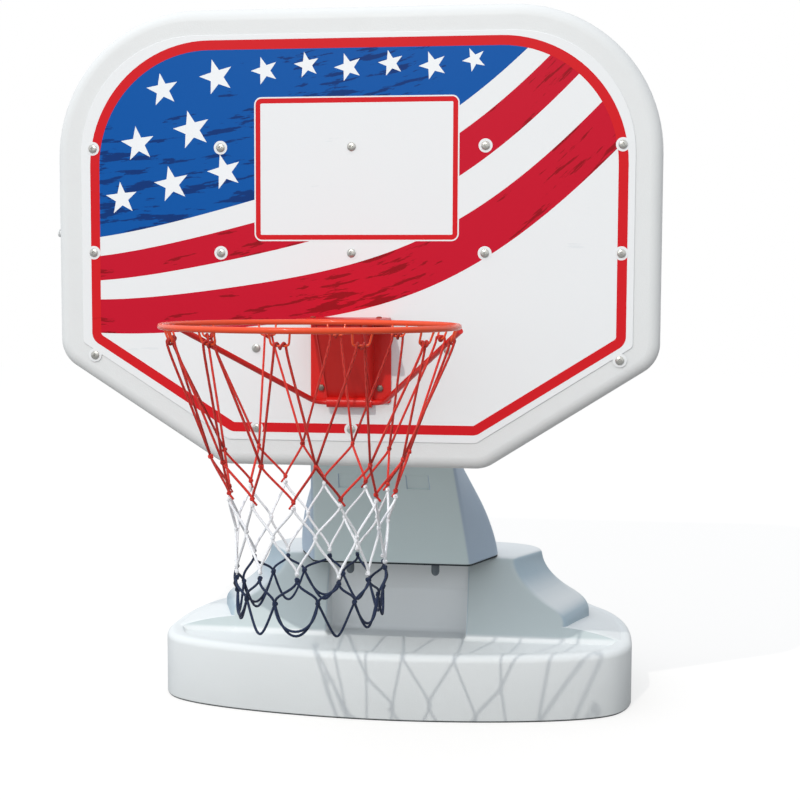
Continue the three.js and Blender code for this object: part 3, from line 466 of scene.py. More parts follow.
# %% Node groups
def group(name, inputs, outputs):
    """New shader group: its inputs as wires by name, and its output node. Each input is a name with
    (kind, default), and each output a name with a kind."""
    tree = bpy.data.node_groups.new(name, "ShaderNodeTree")
    for title, (kind, default) in inputs.items():
        socket = tree.interface.new_socket(title, in_out="INPUT", socket_type="NodeSocket" + kind)
        if default is not None:
            socket.default_value = default
    for title, kind in outputs.items():
        tree.interface.new_socket(title, in_out="OUTPUT", socket_type="NodeSocket" + kind)
    entry = add(tree, "NodeGroupInput")
    return {title: Wire(entry.outputs[title]) for title in inputs}, add(tree, "NodeGroupOutput")


def put_out(out, **wires):
    """Joins a group's results to its output node, and gives back the group."""
    for title, result in wires.items():
        result.tree.links.new(result.socket, out.inputs[title])
    return out.id_data


def mixed(factor, a, b):
    """Colour between two. A colour Mix node takes them at inputs 6 and 7 and gives it at output 2."""
    return wire(factor.tree, "ShaderNodeMix", {0: factor, 6: a, 7: b}, 2, data_type="RGBA")


def toned(tint, value):
    """A colour with its value scaled."""
    return wire(tint.tree, "ShaderNodeHueSaturation", {"Color": tint, "Value": value})


def band(value, low, high):
    """Map Range from low..high to 0..1, smooth and clamped."""
    return wire(value.tree, "ShaderNodeMapRange", {"Value": value, "From Min": low, "From Max": high},
                interpolation_type="SMOOTHSTEP")


def along_axis(vector, axis):
    """One coordinate of a vector."""
    return wire(vector.tree, "ShaderNodeSeparateXYZ", {0: vector}, axis)


def noise(vector, scale, detail=3.0, roughness=0.5, stretch=None):
    """Factor of a Noise texture; stretch scales its axes first."""
    if stretch is not None:
        vector = wire(vector.tree, "ShaderNodeMapping", {"Vector": vector, "Scale": stretch})
    inputs = {"Vector": vector, "Scale": scale, "Detail": detail, "Roughness": roughness}
    return wire(vector.tree, "ShaderNodeTexNoise", inputs, "Fac")


def moulded_skin():
    """Pebbled plastic: fine grain for the height, slow clouds for colour and roughness, and a
    faint grey film that gathers toward the floor."""
    given, out = group(
        "moulded_skin",
        {"Vector": ("Vector", None), "Colour": ("Color", (0.8, 0.8, 0.8, 1)),
         "Film": ("Color", (0.5, 0.5, 0.5, 1)), "Film Height": ("Float", 0.3),
         "Cloud": ("Float", 0.05), "Roughness": ("Float", 0.5)},
        {"Colour": "Color", "Roughness": "Float", "Height": "Float"},
    )
    place = given["Vector"]
    clouds = noise(place, 5.0, 4.0, 0.55)
    pebble = noise(place, 420.0, 2.0, 0.6)
    ripple = noise(place, 26.0, 2.0, 0.4)
    scuffs = band(noise(place, 60.0, 5.0, 0.7, (1.0, 1.0, 0.12)), 0.62, 0.74)
    tone = toned(given["Colour"], (clouds - 0.5) * given["Cloud"] + 1.0)
    low = 1.0 - band(along_axis(place, "Z"), 0.0, given["Film Height"])
    marked = (low * clouds * 0.35).higher(scuffs * 0.05)
    return put_out(out, Colour=mixed(marked, tone, given["Film"]),
                   Roughness=given["Roughness"] + (ripple - 0.5) * 0.18, Height=pebble * 0.35 + ripple)


def powder_coat():
    """Baked paint: orange peel, slow drifts of tone, and small chips of a second colour."""
    given, out = group(
        "powder_coat",
        {"Vector": ("Vector", None), "Colour": ("Color", (0.8, 0.1, 0.05, 1)),
         "Chip": ("Color", (0.3, 0.3, 0.3, 1)), "Chips": ("Float", 0.5),
         "Roughness": ("Float", 0.3)},
        {"Colour": "Color", "Roughness": "Float", "Height": "Float"},
    )
    place = given["Vector"]
    peel = noise(place, 520.0, 2.0, 0.5)
    drift = noise(place, 14.0, 3.0, 0.5)
    spots = band(noise(place, 160.0, 5.0, 0.7), 0.70, 0.73) * given["Chips"]
    tone = toned(given["Colour"], drift * 0.16 + 0.92)
    return put_out(out, Colour=mixed(spots, tone, given["Chip"]),
                   Roughness=given["Roughness"] + spots * 0.3, Height=peel - spots * 1.5)


def braid():
    """Strands of a cord. UV runs once round the cord in X and along it in metres in Y. Two sets of
    diagonal waves, sin(2 pi (n u + k v)) and its mirror, are crossed by taking the higher one. The
    whole part of UV X is the cord's number, which gives each cord a tone of its own."""
    given, out = group(
        "braid",
        {"Vector": ("Vector", None), "Colour": ("Color", (0.8, 0.1, 0.1, 1)),
         "Fade": ("Color", (0.9, 0.5, 0.5, 1)), "Strands": ("Float", 3.0),
         "Turns": ("Float", 160.0), "Depth": ("Float", 0.3), "Variety": ("Float", 0.3)},
        {"Colour": "Color", "Height": "Float"},
    )
    place = given["Vector"]
    around = along_axis(place, "X")
    turn, twist = around * given["Strands"], along_axis(place, "Y") * given["Turns"]
    rising, falling = ((phase * (2 * math.pi)).math("SINE") for phase in (turn + twist, turn - twist))
    lifted = band(rising.higher(falling), -0.6, 1.0)
    fuzz = noise(place, 90.0, 3.0, 0.6, (8.0, 6.0, 1.0))
    faded = mixed(band(fuzz, 0.45, 0.75) * 0.3, given["Colour"], given["Fade"])
    number = around.math("FLOOR")
    chance = wire(number.tree, "ShaderNodeTexWhiteNoise", {"W": number}, noise_dimensions="1D")
    darker = chance * chance * given["Variety"]
    # Painted shade: Depth darkens the valleys between the strands.
    tone = 1.0 - ((1.0 - lifted) * given["Depth"] + darker)
    return put_out(out, Colour=toned(faded, tone), Height=lifted + fuzz * 0.4)


def brush_ink():
    """Printed colour with long strokes. UV runs along the stroke in X and across it in Y, both in
    metres. Noise squeezed along X makes the strokes, and a slower noise gathers them in places."""
    given, out = group(
        "brush_ink",
        {"Vector": ("Vector", None), "Colour": ("Color", (0.7, 0.0, 0.05, 1)),
         "Stroke": ("Color", (0.2, 0.0, 0.0, 1)), "Amount": ("Float", 0.5),
         "Depth": ("Float", 0.8)},
        {"Colour": "Color"},
    )
    strokes = noise(given["Vector"], 9.0, 5.0, 0.62, (1.0, 7.0, 1.0))
    gather = noise(given["Vector"], 3.2, 2.0, 0.5)
    start = 0.72 - given["Amount"] * 0.3
    mask = band(strokes * 0.62 + gather * 0.38, start, start + 0.018) * given["Depth"]
    return put_out(out, Colour=mixed(mask, given["Colour"], given["Stroke"]))


SKIN, COAT, BRAID, INK = moulded_skin(), powder_coat(), braid(), brush_ink()
print("node groups:", [g.name for g in (SKIN, COAT, BRAID, INK)])

# %% [markdown]
# ## Materials
# Colours are written as the eye sees them, from 0 to 255, and turned into the linear values that
# the renderer works with. Plastic is satin with a weak gloss, paint has a clear hard gloss, cord is
# matt with a little sheen, and plated screws are metal.

# %% Materials
def colour(red, green, blue):
    """Linear RGBA of a colour from 0 to 255: c / 12.92 when dark, else ((c + 0.055) / 1.055)^2.4."""
    c = np.array([red, green, blue]) / 255
    linear = np.where(c <= 0.04045, c / 12.92, ((c + 0.055) / 1.055) ** 2.4)
    return (*linear.tolist(), 1.0)


def object_place(tree):
    """Place on the object, in metres."""
    return wire(tree, "ShaderNodeTexCoord", output="Object")


def flow_place(tree):
    """Place on the UV layer that every piece has."""
    return wire(tree, "ShaderNodeUVMap", uv_map="flow")


def coated(name, shared, place, values, height, restyled=None, **shader):
    """Material with one Principled shader. Its colour comes from the shared group, restyled if a
    function for that is given, and so do roughness and relief where the group has them. The relief
    is scaled to a height in metres, and the other sockets take constant values."""
    look = bpy.data.materials.new(name)
    look.use_nodes = True
    tree = look.node_tree
    tree.nodes.clear()
    skin = add(tree, "ShaderNodeGroup", {"Vector": place(tree), **values}, node_tree=shared)
    made = {socket.name: Wire(socket) for socket in skin.outputs}
    inputs = {key.replace("_", " "): value for key, value in shader.items()}
    inputs["Base Color"] = restyled(tree, made["Colour"]) if restyled else made["Colour"]
    if "Roughness" in made:
        inputs["Roughness"] = made["Roughness"]
    relief = made.get("Height") or noise(object_place(tree), 700.0)
    inputs["Normal"] = wire(tree, "ShaderNodeBump", {"Height": relief, "Distance": height})
    add(tree, "ShaderNodeOutputMaterial", {"Surface": wire(tree, "ShaderNodeBsdfPrincipled", inputs)})
    return look


# Painted shade: masks and colours that make upright walls and sideways faces greyer and bluer where they
# stand in shade.
WALL_UPWARD, WALL_ASIDE, WALL_RAISED = (0.55, 0.92), (0.159, 0.164), (0.141, 0.150)
SIDE_FACING, FLANK_SHADE_COLOUR = (0.25, 0.60), colour(166, 184, 195)
WALL_BEHIND, WALL_SHADE_COLOUR, SIDE_SHADE_COLOUR = (-0.095, -0.085), colour(190, 200, 201), colour(172, 188, 205)
# Painted shadow: a dark band over the lowest few millimetres of the tank, where it meets the floor.
FOOT_SHADE_HEIGHTS, FOOT_SHADE_COLOUR = (0.0025, 0.0055), colour(58, 66, 68)


def facing(tree, axis):
    """One coordinate of the surface's normal."""
    return along_axis(wire(tree, "ShaderNodeTexCoord", output="Normal"), axis)


def painted_side_shade(tree, plain, tint=SIDE_SHADE_COLOUR):
    """Painted shade: bluer and darker where the surface faces left or right, as on the tower and the
    flanks.
    """
    return mixed(band(facing(tree, "X").math("ABSOLUTE"), *SIDE_FACING), plain, tint)


def painted_wall_shade(tree, plain):
    """Painted shade: greyer, bluer upright walls above the lip and outside the alcove, where the
    pedestal stands in shade, and a painted dark line of contact shadow along the foot."""
    x, y, z = (along_axis(object_place(tree), axis) for axis in "XYZ")
    steep = 1.0 - band(facing(tree, "Z"), *WALL_UPWARD)
    aside = band(y, *WALL_BEHIND).higher(band(x.math("ABSOLUTE"), *WALL_ASIDE))
    mask = steep * (aside * band(z, *WALL_RAISED))
    walls = mixed(mask, plain, painted_side_shade(tree, WALL_SHADE_COLOUR, FLANK_SHADE_COLOUR))
    # Painted contact shadow along the foot.
    return mixed(1.0 - band(z, *FOOT_SHADE_HEIGHTS), walls, FOOT_SHADE_COLOUR)


def plastic(name, tint, film, film_height, cloud, rough, restyled=None):
    """Moulded plastic with a film of dirt up to a height."""
    values = {"Colour": tint, "Film": film, "Film Height": film_height, "Cloud": cloud,
              "Roughness": rough}
    return coated(name, SKIN, object_place, values, 0.0006, restyled, Specular_IOR_Level=0.35)


def paint(name, tint, chip, chips, rough, metal=0.0, coat=0.15):
    """Baked paint, or bare metal where it has no coat."""
    values = {"Colour": tint, "Chip": chip, "Chips": chips, "Roughness": rough}
    return coated(name, COAT, object_place, values, 0.00025, Metallic=metal, Coat_Weight=coat,
                  Coat_Roughness=0.10, Specular_IOR_Level=0.25)


def cord_look(name, tint, fade, depth, variety):
    """Matt braided cord."""
    values = {"Colour": tint, "Fade": fade, "Depth": depth, "Variety": variety}
    return coated(name, BRAID, flow_place, values, 0.0004, Roughness=0.85, Sheen_Weight=0.12,
                  Sheen_Roughness=0.5, Specular_IOR_Level=0.15)


def ink(name, tint, stroke, amount, depth, rough=0.42):
    """Printed ink with brush strokes, on a sheet with a fine grain."""
    values = {"Colour": tint, "Stroke": stroke, "Amount": amount, "Depth": depth}
    return coated(name, INK, flow_place, values, 0.0001, Roughness=rough, Specular_IOR_Level=0.12)


shell_look = plastic("shell_plastic", colour(221, 222, 222), colour(190, 190, 186), 0.2, 0.03, 0.45)
# Painted shade: the tank's upright pedestal walls are restyled greyer and bluer where they stand in shade.
tank_look = plastic("tank_plastic", colour(225, 228, 229), colour(176, 180, 180), 0.22, 0.05, 0.48,
                    painted_wall_shade)
# Painted shade: the tower's sides are restyled bluer and darker by the way they face.
tower_look = plastic("tower_plastic", colour(204, 218, 219), colour(176, 184, 180), 0.4, 0.05, 0.5,
                     painted_side_shade)
dark_look = plastic("dark_plastic", colour(92, 100, 106), colour(60, 64, 66), 0.4, 0.1, 0.5)
# Painted shade: near-black plastic for the strip that stands in for the shadow gap under the tower.
shade_strip_look = plastic("seam_strip", colour(40, 46, 50), colour(70, 74, 76), 0.4, 0.1, 0.8)
rubber_look = plastic("gasket_rubber", colour(44, 45, 47), colour(90, 90, 88), 0.3, 0.2, 0.75)
sand_look = plastic("ballast_sand", colour(201, 179, 136), colour(150, 130, 95), 0.1, 0.6, 0.9)
rim_look = paint("rim_paint", colour(230, 78, 42), colour(120, 60, 50), 0.35, 0.25)
bracket_look = paint("bracket_paint", colour(212, 34, 28), colour(90, 30, 28), 0.35, 0.3)
painted_look = paint("painted_screw", colour(150, 58, 46), colour(70, 40, 36), 0.5, 0.4)
steel_look = paint("fastener_steel", colour(196, 196, 192), colour(120, 108, 90), 0.6, 0.3, 0.9, 0.0)
# Yellow zinc, darker than its own tone: partly painted shade for the bracket's bolts.
shaded_zinc_look = paint("dull_zinc", colour(128, 120, 112), colour(84, 72, 60), 0.6, 0.45, 0.8, 0.0)
# The third number of each cord is the painted shade in the valleys between its strands.
red_cord = cord_look("cord_red", colour(226, 58, 48), colour(236, 110, 98), 0.30, 0.45)
white_cord = cord_look("cord_white", colour(244, 245, 248), colour(232, 236, 242), 0.10, 0.16)
navy_cord = cord_look("cord_navy", colour(40, 52, 80), colour(84, 96, 120), 0.30, 0.30)
sheet_look = ink("sheet_white", colour(230, 231, 232), colour(220, 223, 225), 0.25, 0.6, 0.35)
red_ink = ink("ink_red", colour(194, 14, 42), colour(136, 6, 18), 0.55, 0.85)
border_ink = ink("ink_border", colour(206, 26, 34), colour(184, 18, 26), 0.3, 0.5)
blue_ink = ink("ink_blue", colour(0, 82, 160), colour(4, 42, 104), 0.55, 0.85)
star_ink = ink("ink_star", colour(234, 236, 238), colour(216, 221, 228), 0.35, 0.7)
print("materials:", len(bpy.data.materials))

# %% [markdown]
# ## The board shell
# The board is one hollow moulding, 50 mm thick, with a full rounding toward the player and a
# smaller one behind. A stack of rounded outlines makes the edge: along a quarter circle of radius
# R the outline moves in by R (1 - cos t) while the depth changes by R (1 - sin t). A narrow extra
# ring on each flat keeps the smooth shading from creeping over it. The back is a flat sheet with
# four long sunk grooves, so it is cut into triangles round them.

# %% Board shell
shell_low, shell_high = box_of("board_shell")
BOARD_FACE, BOARD_BACK = shell_low[1], shell_high[1]
BOARD_BOTTOM, BOARD_TOP, BOARD_HALF = shell_low[2], shell_high[2], shell_high[0]
SIDE_FOOT, FOOT_HALF = 0.200, 0.245
TOP_RADIUS, LOW_RADIUS = 0.268, 0.060
FRONT_ROUND, BACK_ROUND = 0.022, 0.012
HOLD = 0.0012
GROOVE_WIDTH, GROOVE_HEIGHT, GROOVE_DEPTH, GROOVE_LIFT = 0.024, 0.520, 0.005, 0.162
GROOVE_EDGE, GROOVE_ROUND = 0.002, 0.010
GROOVE_PLACES = (-0.430, -0.245, 0.245, 0.430)


def six_sided(half, foot, top_radius, low_radius, inset, steps=24):
    """Outline as (x, z) with upright sides and a narrower foot, moved inward by an inset."""
    side = BOARD_BOTTOM + SIDE_FOOT
    corners = [(half, side), (half, BOARD_TOP), (-half, BOARD_TOP), (-half, side),
               (-FOOT_HALF, foot), (FOOT_HALF, foot)]
    radii = [low_radius, top_radius, top_radius, low_radius, low_radius, low_radius]
    return rounded_outline(corners, radii, inset, steps)


def board_outline(inset):
    """Outline of the board, moved inward by an inset."""
    return six_sided(BOARD_HALF, BOARD_BOTTOM, TOP_RADIUS, LOW_RADIUS, inset)


def upright(outline, depth):
    """An (x, z) outline standing at one depth."""
    return np.stack([outline[:, 0], np.full(len(outline), depth), outline[:, 1]], axis=1)


def inside_convex(points, outline):
    """True for points to the left of every edge of a counter-clockwise outline."""
    edge = np.roll(outline, -1, axis=0) - outline
    away = points[:, None] - outline[None]
    return ((edge[:, 0] * away[..., 1] - edge[:, 1] * away[..., 0]) > -1e-9).all(axis=1)


def sheet_with_holes(outline, holes, depth):
    """Flat upright sheet cut into triangles; those whose middle lies in a hole are dropped."""
    loops = [outline, *holes]
    starts = np.cumsum([0] + [len(loop) for loop in loops])
    faces = [list(range(a, b)) for a, b in zip(starts, starts[1:])]
    vectors = [Vector(p) for p in np.concatenate(loops)]
    spots, _, cut, *_ = delaunay_2d_cdt(vectors, [], faces, 1, 1e-7)
    spots, cut = np.array(spots), np.array(cut)
    middle = spots[cut].mean(axis=1)
    kept = ~np.any([inside_convex(middle, hole) for hole in holes], axis=0)
    return Part(upright(spots, depth), [cut[kept]], [spots[cut[kept]]])


def groove_outline(x, grow=GROOVE_EDGE):
    """Outline of the groove whose middle is at x, made larger all round."""
    half, low = GROOVE_WIDTH / 2 + grow, BOARD_BOTTOM + GROOVE_LIFT
    corners = rectangle(x - half, x + half, low - grow, low + GROOVE_HEIGHT + grow)
    return rounded_outline(corners, [GROOVE_ROUND] * 4, steps=8)


def groove(x):
    """Sunk groove: its edge and its floor turn on quarter circles."""
    edge = GROOVE_EDGE
    sine, cosine = quarter(5)
    levels = [(edge * (1 - s), edge * (1 - c)) for s, c in zip(sine, cosine)]
    levels += [(-edge * (1 - c), GROOVE_DEPTH - edge * (1 - s)) for s, c in zip(sine, cosine)]
    rings = [upright(groove_outline(x, grow), BOARD_BACK - sunk) for grow, sunk in levels]
    return ring_stack(rings, caps=(False, True))


def shell_part():
    """Edge and face as one stack, and the back with its grooves."""
    sine, cosine = quarter(7)
    levels = [(BOARD_BACK, BACK_ROUND + HOLD)]
    levels += [(BOARD_BACK - BACK_ROUND * (1 - c), BACK_ROUND * (1 - s)) for s, c in zip(sine, cosine)]
    levels += [(BOARD_FACE + FRONT_ROUND * (1 - s), FRONT_ROUND * (1 - c))
               for s, c in zip(sine, cosine)]
    levels += [(BOARD_FACE, FRONT_ROUND + HOLD)]
    rings = np.array([upright(board_outline(inset), depth) for depth, inset in levels])
    edge = ring_stack(rings, caps=(False, True))
    holes = [groove_outline(x) for x in GROOVE_PLACES]
    back = sheet_with_holes(board_outline(BACK_ROUND + HOLD), holes, BOARD_BACK)
    return together([edge, back, *[groove(x) for x in GROOVE_PLACES]])


make("shell", shell_part(), shell_look, replaces=["board_shell"])

# %% [markdown]
# ## The printed sheet
# A thin white sheet covers the face inside the rounding. The print on it is made as real layers of
# ink, each a few hundredths of a millimetre proud of the one below, so its edges stay sharp from
# any distance. The picture is a plain pattern of stars over sweeping stripes. A stripe is the area
# between two curves over x, cut off at the sheet's border by clipping both curves to it.

# %% Printed sheet
PANEL_INSET, PANEL_EDGE = 0.049, 0.0004
panel_low, panel_high = box_of("face_panel")
PANEL_FACE, PANEL_BACK = panel_low[1], panel_high[1]
INK_STEP = 0.00005


def place_uvs(part):
    """The same part with UV equal to X and Z in metres."""
    return Part(part.points, part.faces, [part.points[f][..., [0, 2]] for f in part.faces])


panel_levels = [(PANEL_FACE, PANEL_EDGE + HOLD), (PANEL_FACE, PANEL_EDGE),
                (PANEL_FACE + PANEL_EDGE, 0), (PANEL_BACK, 0)]
panel_rings = [upright(board_outline(PANEL_INSET + inset), depth) for depth, inset in panel_levels]
make("panel", place_uvs(ring_stack(panel_rings)), sheet_look,
     replaces=["face_panel"])

# %% [markdown]
# ### Ink layers
# All the layers share one builder: an outline, or a pair of curves, is given a front at its own
# depth and a back just inside the sheet.

# %% Ink layers
BORDER_OUTER, BORDER_INNER, BORDER_LOW_RADIUS, BORDER_TOP_RADIUS = 0.058, 0.0755, 0.083, 0.286
BORDER_NARROW, BORDER_LIFT, BORDER_SHIFT = 0.0060, 0.0055, 0.0026
ART_INSET = 0.067
BLUE_START, BLUE_RISE, BLUE_BEND = 1.02, 0.52, 2.0
WAVE = 0.020
# Steps down from the blue edge: size at the left end and its growth to the right end
STRIPE_STEPS = np.array([[0.035, 0.020], [0.045, 0.045], [0.035, 0.060], [0.062, 0.050]])
STAR_WAIST = 0.40
TARGET_LEFT, TARGET_RIGHT, TARGET_LOW, TARGET_TOP = -0.1775, 0.194, 1.016, 1.272
TARGET_LINE, TARGET_ROUND, TARGET_MARGIN = 0.009, 0.011, 0.0025
HALO_RADIUS = 0.0125
SCREW_SIDE, SCREW_INNER = 0.487, 0.178
SCREW_PLACES = [(x, z) for z in (1.184, 0.992)
                for x in (-SCREW_SIDE, -SCREW_SIDE / 2, 0.0, SCREW_SIDE / 2, SCREW_SIDE)]
SCREW_PLACES += [(-SCREW_SIDE, 0.801), (-SCREW_INNER, 0.817), (SCREW_INNER, 0.817),
                 (SCREW_SIDE, 0.801), (-SCREW_INNER, 0.669), (0.0, 0.669)]


def ink_depths(layer):
    """Front and back of a layer of ink."""
    return PANEL_FACE - layer * INK_STEP, PANEL_FACE + INK_STEP


def ink_shape(outline, layer):
    """Layer of ink with one closed outline."""
    front, back = ink_depths(layer)
    return place_uvs(ring_stack([upright(outline, front), upright(outline, back)]))


def ink_ring(outer, inner, layer):
    """Layer of ink between two outlines with equal numbers of points."""
    front, back = ink_depths(layer)
    rows = [upright(outer, front), upright(inner, front), upright(inner, back), upright(outer, back)]
    return place_uvs(grid_part(np.array(rows), close_rows=True, close_columns=True))


def ink_stripe(x, low, high, middle, layer):
    """Layer of ink between two curves over x. UV runs along the middle curve and across it."""
    front, back = ink_depths(layer)
    points = np.array([upright(np.stack([x, z], axis=1), depth)
                       for z, depth in ((low, front), (high, front), (high, back), (low, back))])
    part = grid_part(points, close_rows=True)
    gone = np.r_[0, np.cumsum(np.hypot(np.diff(x), np.diff(middle)))]
    flow = np.array([np.stack([gone, z - middle], axis=1) for z in (low, high, high, low)])
    ends = [np.array([[0, 1, 2, 3]]) * len(x), np.array([[3, 2, 1, 0]]) * len(x) + len(x) - 1]
    faces = part.faces + ends
    flow = flow.reshape(-1, 2)
    return Part(part.points, faces, [flow[f] for f in faces])


def border_outline(inset, steps=24):
    """The board's outline, made narrower, lifted at its foot and rounder on top, then moved inward
    by an inset and a little to the right."""
    outline = six_sided(BOARD_HALF - BORDER_NARROW, BOARD_BOTTOM + BORDER_LIFT, BORDER_TOP_RADIUS,
                        BORDER_LOW_RADIUS, inset, steps)
    return outline + [BORDER_SHIFT, 0]


def art_limits(x):
    """Lowest and highest z of the picture's border at each x."""
    edge = border_outline(ART_INSET, steps=64)
    rising = edge[edge[:, 1] > BOARD_BOTTOM + 2 * SIDE_FOOT]
    falling = edge[edge[:, 1] < BOARD_BOTTOM + 2 * SIDE_FOOT]
    top, bottom = (part[np.argsort(part[:, 0])] for part in (rising, falling))
    return np.interp(x, *bottom.T), np.interp(x, *top.T)


art_half = BOARD_HALF - BORDER_NARROW - ART_INSET
share = np.linspace(0, 1, 420)
art_x = BORDER_SHIFT + art_half * (2 * share - 1)
art_low, art_high = art_limits(art_x)
blue_edge = BLUE_START + BLUE_RISE * share**BLUE_BEND + WAVE * np.sin(2 * np.pi * share)
steps_down = np.cumsum(STRIPE_STEPS[:, :1] + STRIPE_STEPS[:, 1:] * share, axis=0)
upper_high, upper_low, lower_high, lower_low = blue_edge - steps_down


def clipped_stripe(low, high, layer):
    """Stripe between two curves, cut off at the picture's border and left out where it is gone."""
    middle = (low + high) / 2
    low, high = np.clip(low, art_low, art_high), np.clip(high, art_low, art_high)
    shown = np.flatnonzero(high - low > 1e-5)
    kept = slice(shown[0], shown[-1] + 1)
    return ink_stripe(art_x[kept], low[kept], high[kept], middle[kept], layer)


make("print_blue", clipped_stripe(blue_edge, np.full_like(art_x, BOARD_TOP), 1), blue_ink)
make("print_stripes", together([clipped_stripe(upper_low, upper_high, 1),
                                clipped_stripe(lower_low, lower_high, 1)]),
     red_ink)


def star(x, z, radius, tilt):
    """Five-pointed star: ten points turn by 36 degrees and alternate between two radii."""
    angle = np.radians(tilt) + np.pi / 2 + np.pi / 5 * np.arange(10)
    out = np.where(np.arange(10) % 2 == 0, radius, radius * STAR_WAIST)
    return np.stack([x + out * np.cos(angle), z + out * np.sin(angle)], axis=1)


STARS = [(-0.432, 1.092, 0.031, 6), (-0.336, 1.118, 0.034, 12), (-0.236, 1.140, 0.033, 16),
         (-0.400, 1.192, 0.033, 8), (-0.297, 1.217, 0.036, 14), (-0.352, 1.290, 0.031, 10),
         (-0.250, 1.312, 0.033, 16), (-0.160, 1.322, 0.026, 18), (-0.082, 1.331, 0.024, 12),
         (-0.006, 1.326, 0.026, 18), (0.072, 1.332, 0.024, 14), (0.148, 1.327, 0.026, 20),
         (0.222, 1.336, 0.022, 24)]
make("print_stars", together([ink_shape(star(*place), 2) for place in STARS]), star_ink)
make("print_border", ink_ring(border_outline(BORDER_OUTER), border_outline(BORDER_INNER), 3),
     border_ink)


def target_outline(inset):
    """Outline of the target box, moved inward."""
    corners = rectangle(TARGET_LEFT, TARGET_RIGHT, TARGET_LOW, TARGET_TOP)
    return rounded_outline(corners, [TARGET_ROUND] * 4, inset, steps=10)


def disc(x, z, radius, sides=40):
    """Round outline."""
    angle = 2 * np.pi * np.arange(sides) / sides
    return np.stack([x + radius * np.cos(angle), z + radius * np.sin(angle)], axis=1)


target_ground = [ink_shape(target_outline(-TARGET_MARGIN), 3)]
halos = [ink_shape(disc(x, z, HALO_RADIUS), 4) for x, z in SCREW_PLACES]
make("print_white", together(target_ground + halos), sheet_look)
make("print_target", ink_ring(target_outline(0), target_outline(TARGET_LINE), 4), border_ink)

# %% [markdown]
# ## Screws and bolts
# The sheet is held by pan-headed screws with a cross recess. The head is a height over the plane:
# a flattened dome, less a cross that is deepest in the middle. The hexagon heads have the small
# cone that a real one is turned with, so that each corner dips a little.

# %% Screws and bolts
CROSS_REACH, CROSS_DEPTH = 0.42, 0.55


def pan_head(place, radius, height, axis="-Y", sides=48):
    """Round head: height h (0.28 + 0.72 sqrt(1 - 0.96 (r / R)^2)) over its seat, less the cross
    recess."""
    out = np.r_[0, np.linspace(0.04, 0.5, 12), np.linspace(0.55, 1, 8)][::-1, None]
    angle = 2 * np.pi * np.arange(sides) / sides
    x, z = radius * out * np.cos(angle), radius * out * np.sin(angle)
    dome = height * (0.28 + 0.72 * np.sqrt(1 - 0.96 * out**2))
    near = np.minimum(np.abs(x), np.abs(z)) / radius
    arm = 1 - smooth_step(near, 0.07, 0.13)
    reach = 1 - smooth_step(out, CROSS_REACH * 0.7, CROSS_REACH)
    top = dome - CROSS_DEPTH * height * arm * reach
    flat = np.stack([x, z, top], axis=-1)
    seat = flat[:1] * [1, 1, 0]
    return grid_part(laid_over(np.concatenate([seat, flat]), axis, place), close_columns=True)


def hex_head(place, flat, height, axis="-Y", bore=0.0, sides=72):
    """Hexagon of a width across flats. Its edge lies at flat / 2 / cos(a - nearest 60 degrees), and
    its top corners are cut by a cone of 30 degrees."""
    angle = 2 * np.pi * (np.arange(sides) + 0.5) / sides
    turn = (angle % (np.pi / 3)) - np.pi / 6
    edge = flat / 2 / np.cos(turn)
    circle = np.full(sides, 0.95 * flat / 2)
    cut = height - np.maximum(edge - circle, 0) * math.tan(math.radians(30))
    zero = np.zeros(sides)
    rows = [(edge, zero), (edge, cut), (circle, zero + height), (zero + bore, zero + height)]
    if bore:
        rows = [(zero + bore, zero), *rows]
    grid = np.array([np.stack([r * np.cos(angle), r * np.sin(angle), h], axis=1) for r, h in rows])
    return grid_part(laid_over(grid, axis, place), close_rows=bool(bore), close_columns=True)


HEAD_RADIUS, HEAD_HEIGHT = 0.0078, 0.0036
screw_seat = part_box("face_screw_01")[0][1] + HEAD_HEIGHT
for number, (x, z) in enumerate(SCREW_PLACES, 1):
    make(f"screw_{number:02d}", pan_head((x, screw_seat, z), HEAD_RADIUS, HEAD_HEIGHT), steel_look,
         replaces=[f"face_screw_{number:02d}"])


HEX_FLAT, BOLT_FLAT, HEX_HEIGHT, SHANK, NUT_HEIGHT = 0.013, 0.0105, 0.0055, 0.004, 0.0065


def shank(x, z, front, back, tip=0.0008):
    """Plain round bar along Y with a small cone at its free end."""
    length = back - front
    profile = [(SHANK, 0), (SHANK, length - tip), (SHANK - tip, length), (0, length)]
    return turned(profile, 24, (x, front, z), "Y")


for number in range(1, 5):
    low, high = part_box(f"bracket_bolt_{number}")
    x, _, z = middle_of(f"bracket_bolt_{number}")
    head = hex_head((x, low[1] + HEX_HEIGHT, z), BOLT_FLAT, HEX_HEIGHT)
    bolt = together([head, shank(x, z, low[1] + HEX_HEIGHT, high[1])])
    make(f"bolt_{number}", bolt, shaded_zinc_look, replaces=[f"bracket_bolt_{number}"])
    nut_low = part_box(f"bracket_nut_{number}")[0]
    nut = hex_head((x, nut_low[1], z), HEX_FLAT, NUT_HEIGHT, "Y", bore=SHANK + 0.0002)
    make(f"nut_{number}", nut, steel_look, replaces=[f"bracket_nut_{number}"])
    low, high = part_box(f"tower_bolt_{number}")
    x, _, z = middle_of(f"tower_bolt_{number}")
    head = hex_head((x, high[1] - HEX_HEIGHT, z), HEX_FLAT, HEX_HEIGHT, "Y")
    make(f"tower_screw_{number}", together([head, shank(x, z, low[1], high[1] - HEX_HEIGHT)]),
         steel_look, replaces=[f"tower_bolt_{number}"])

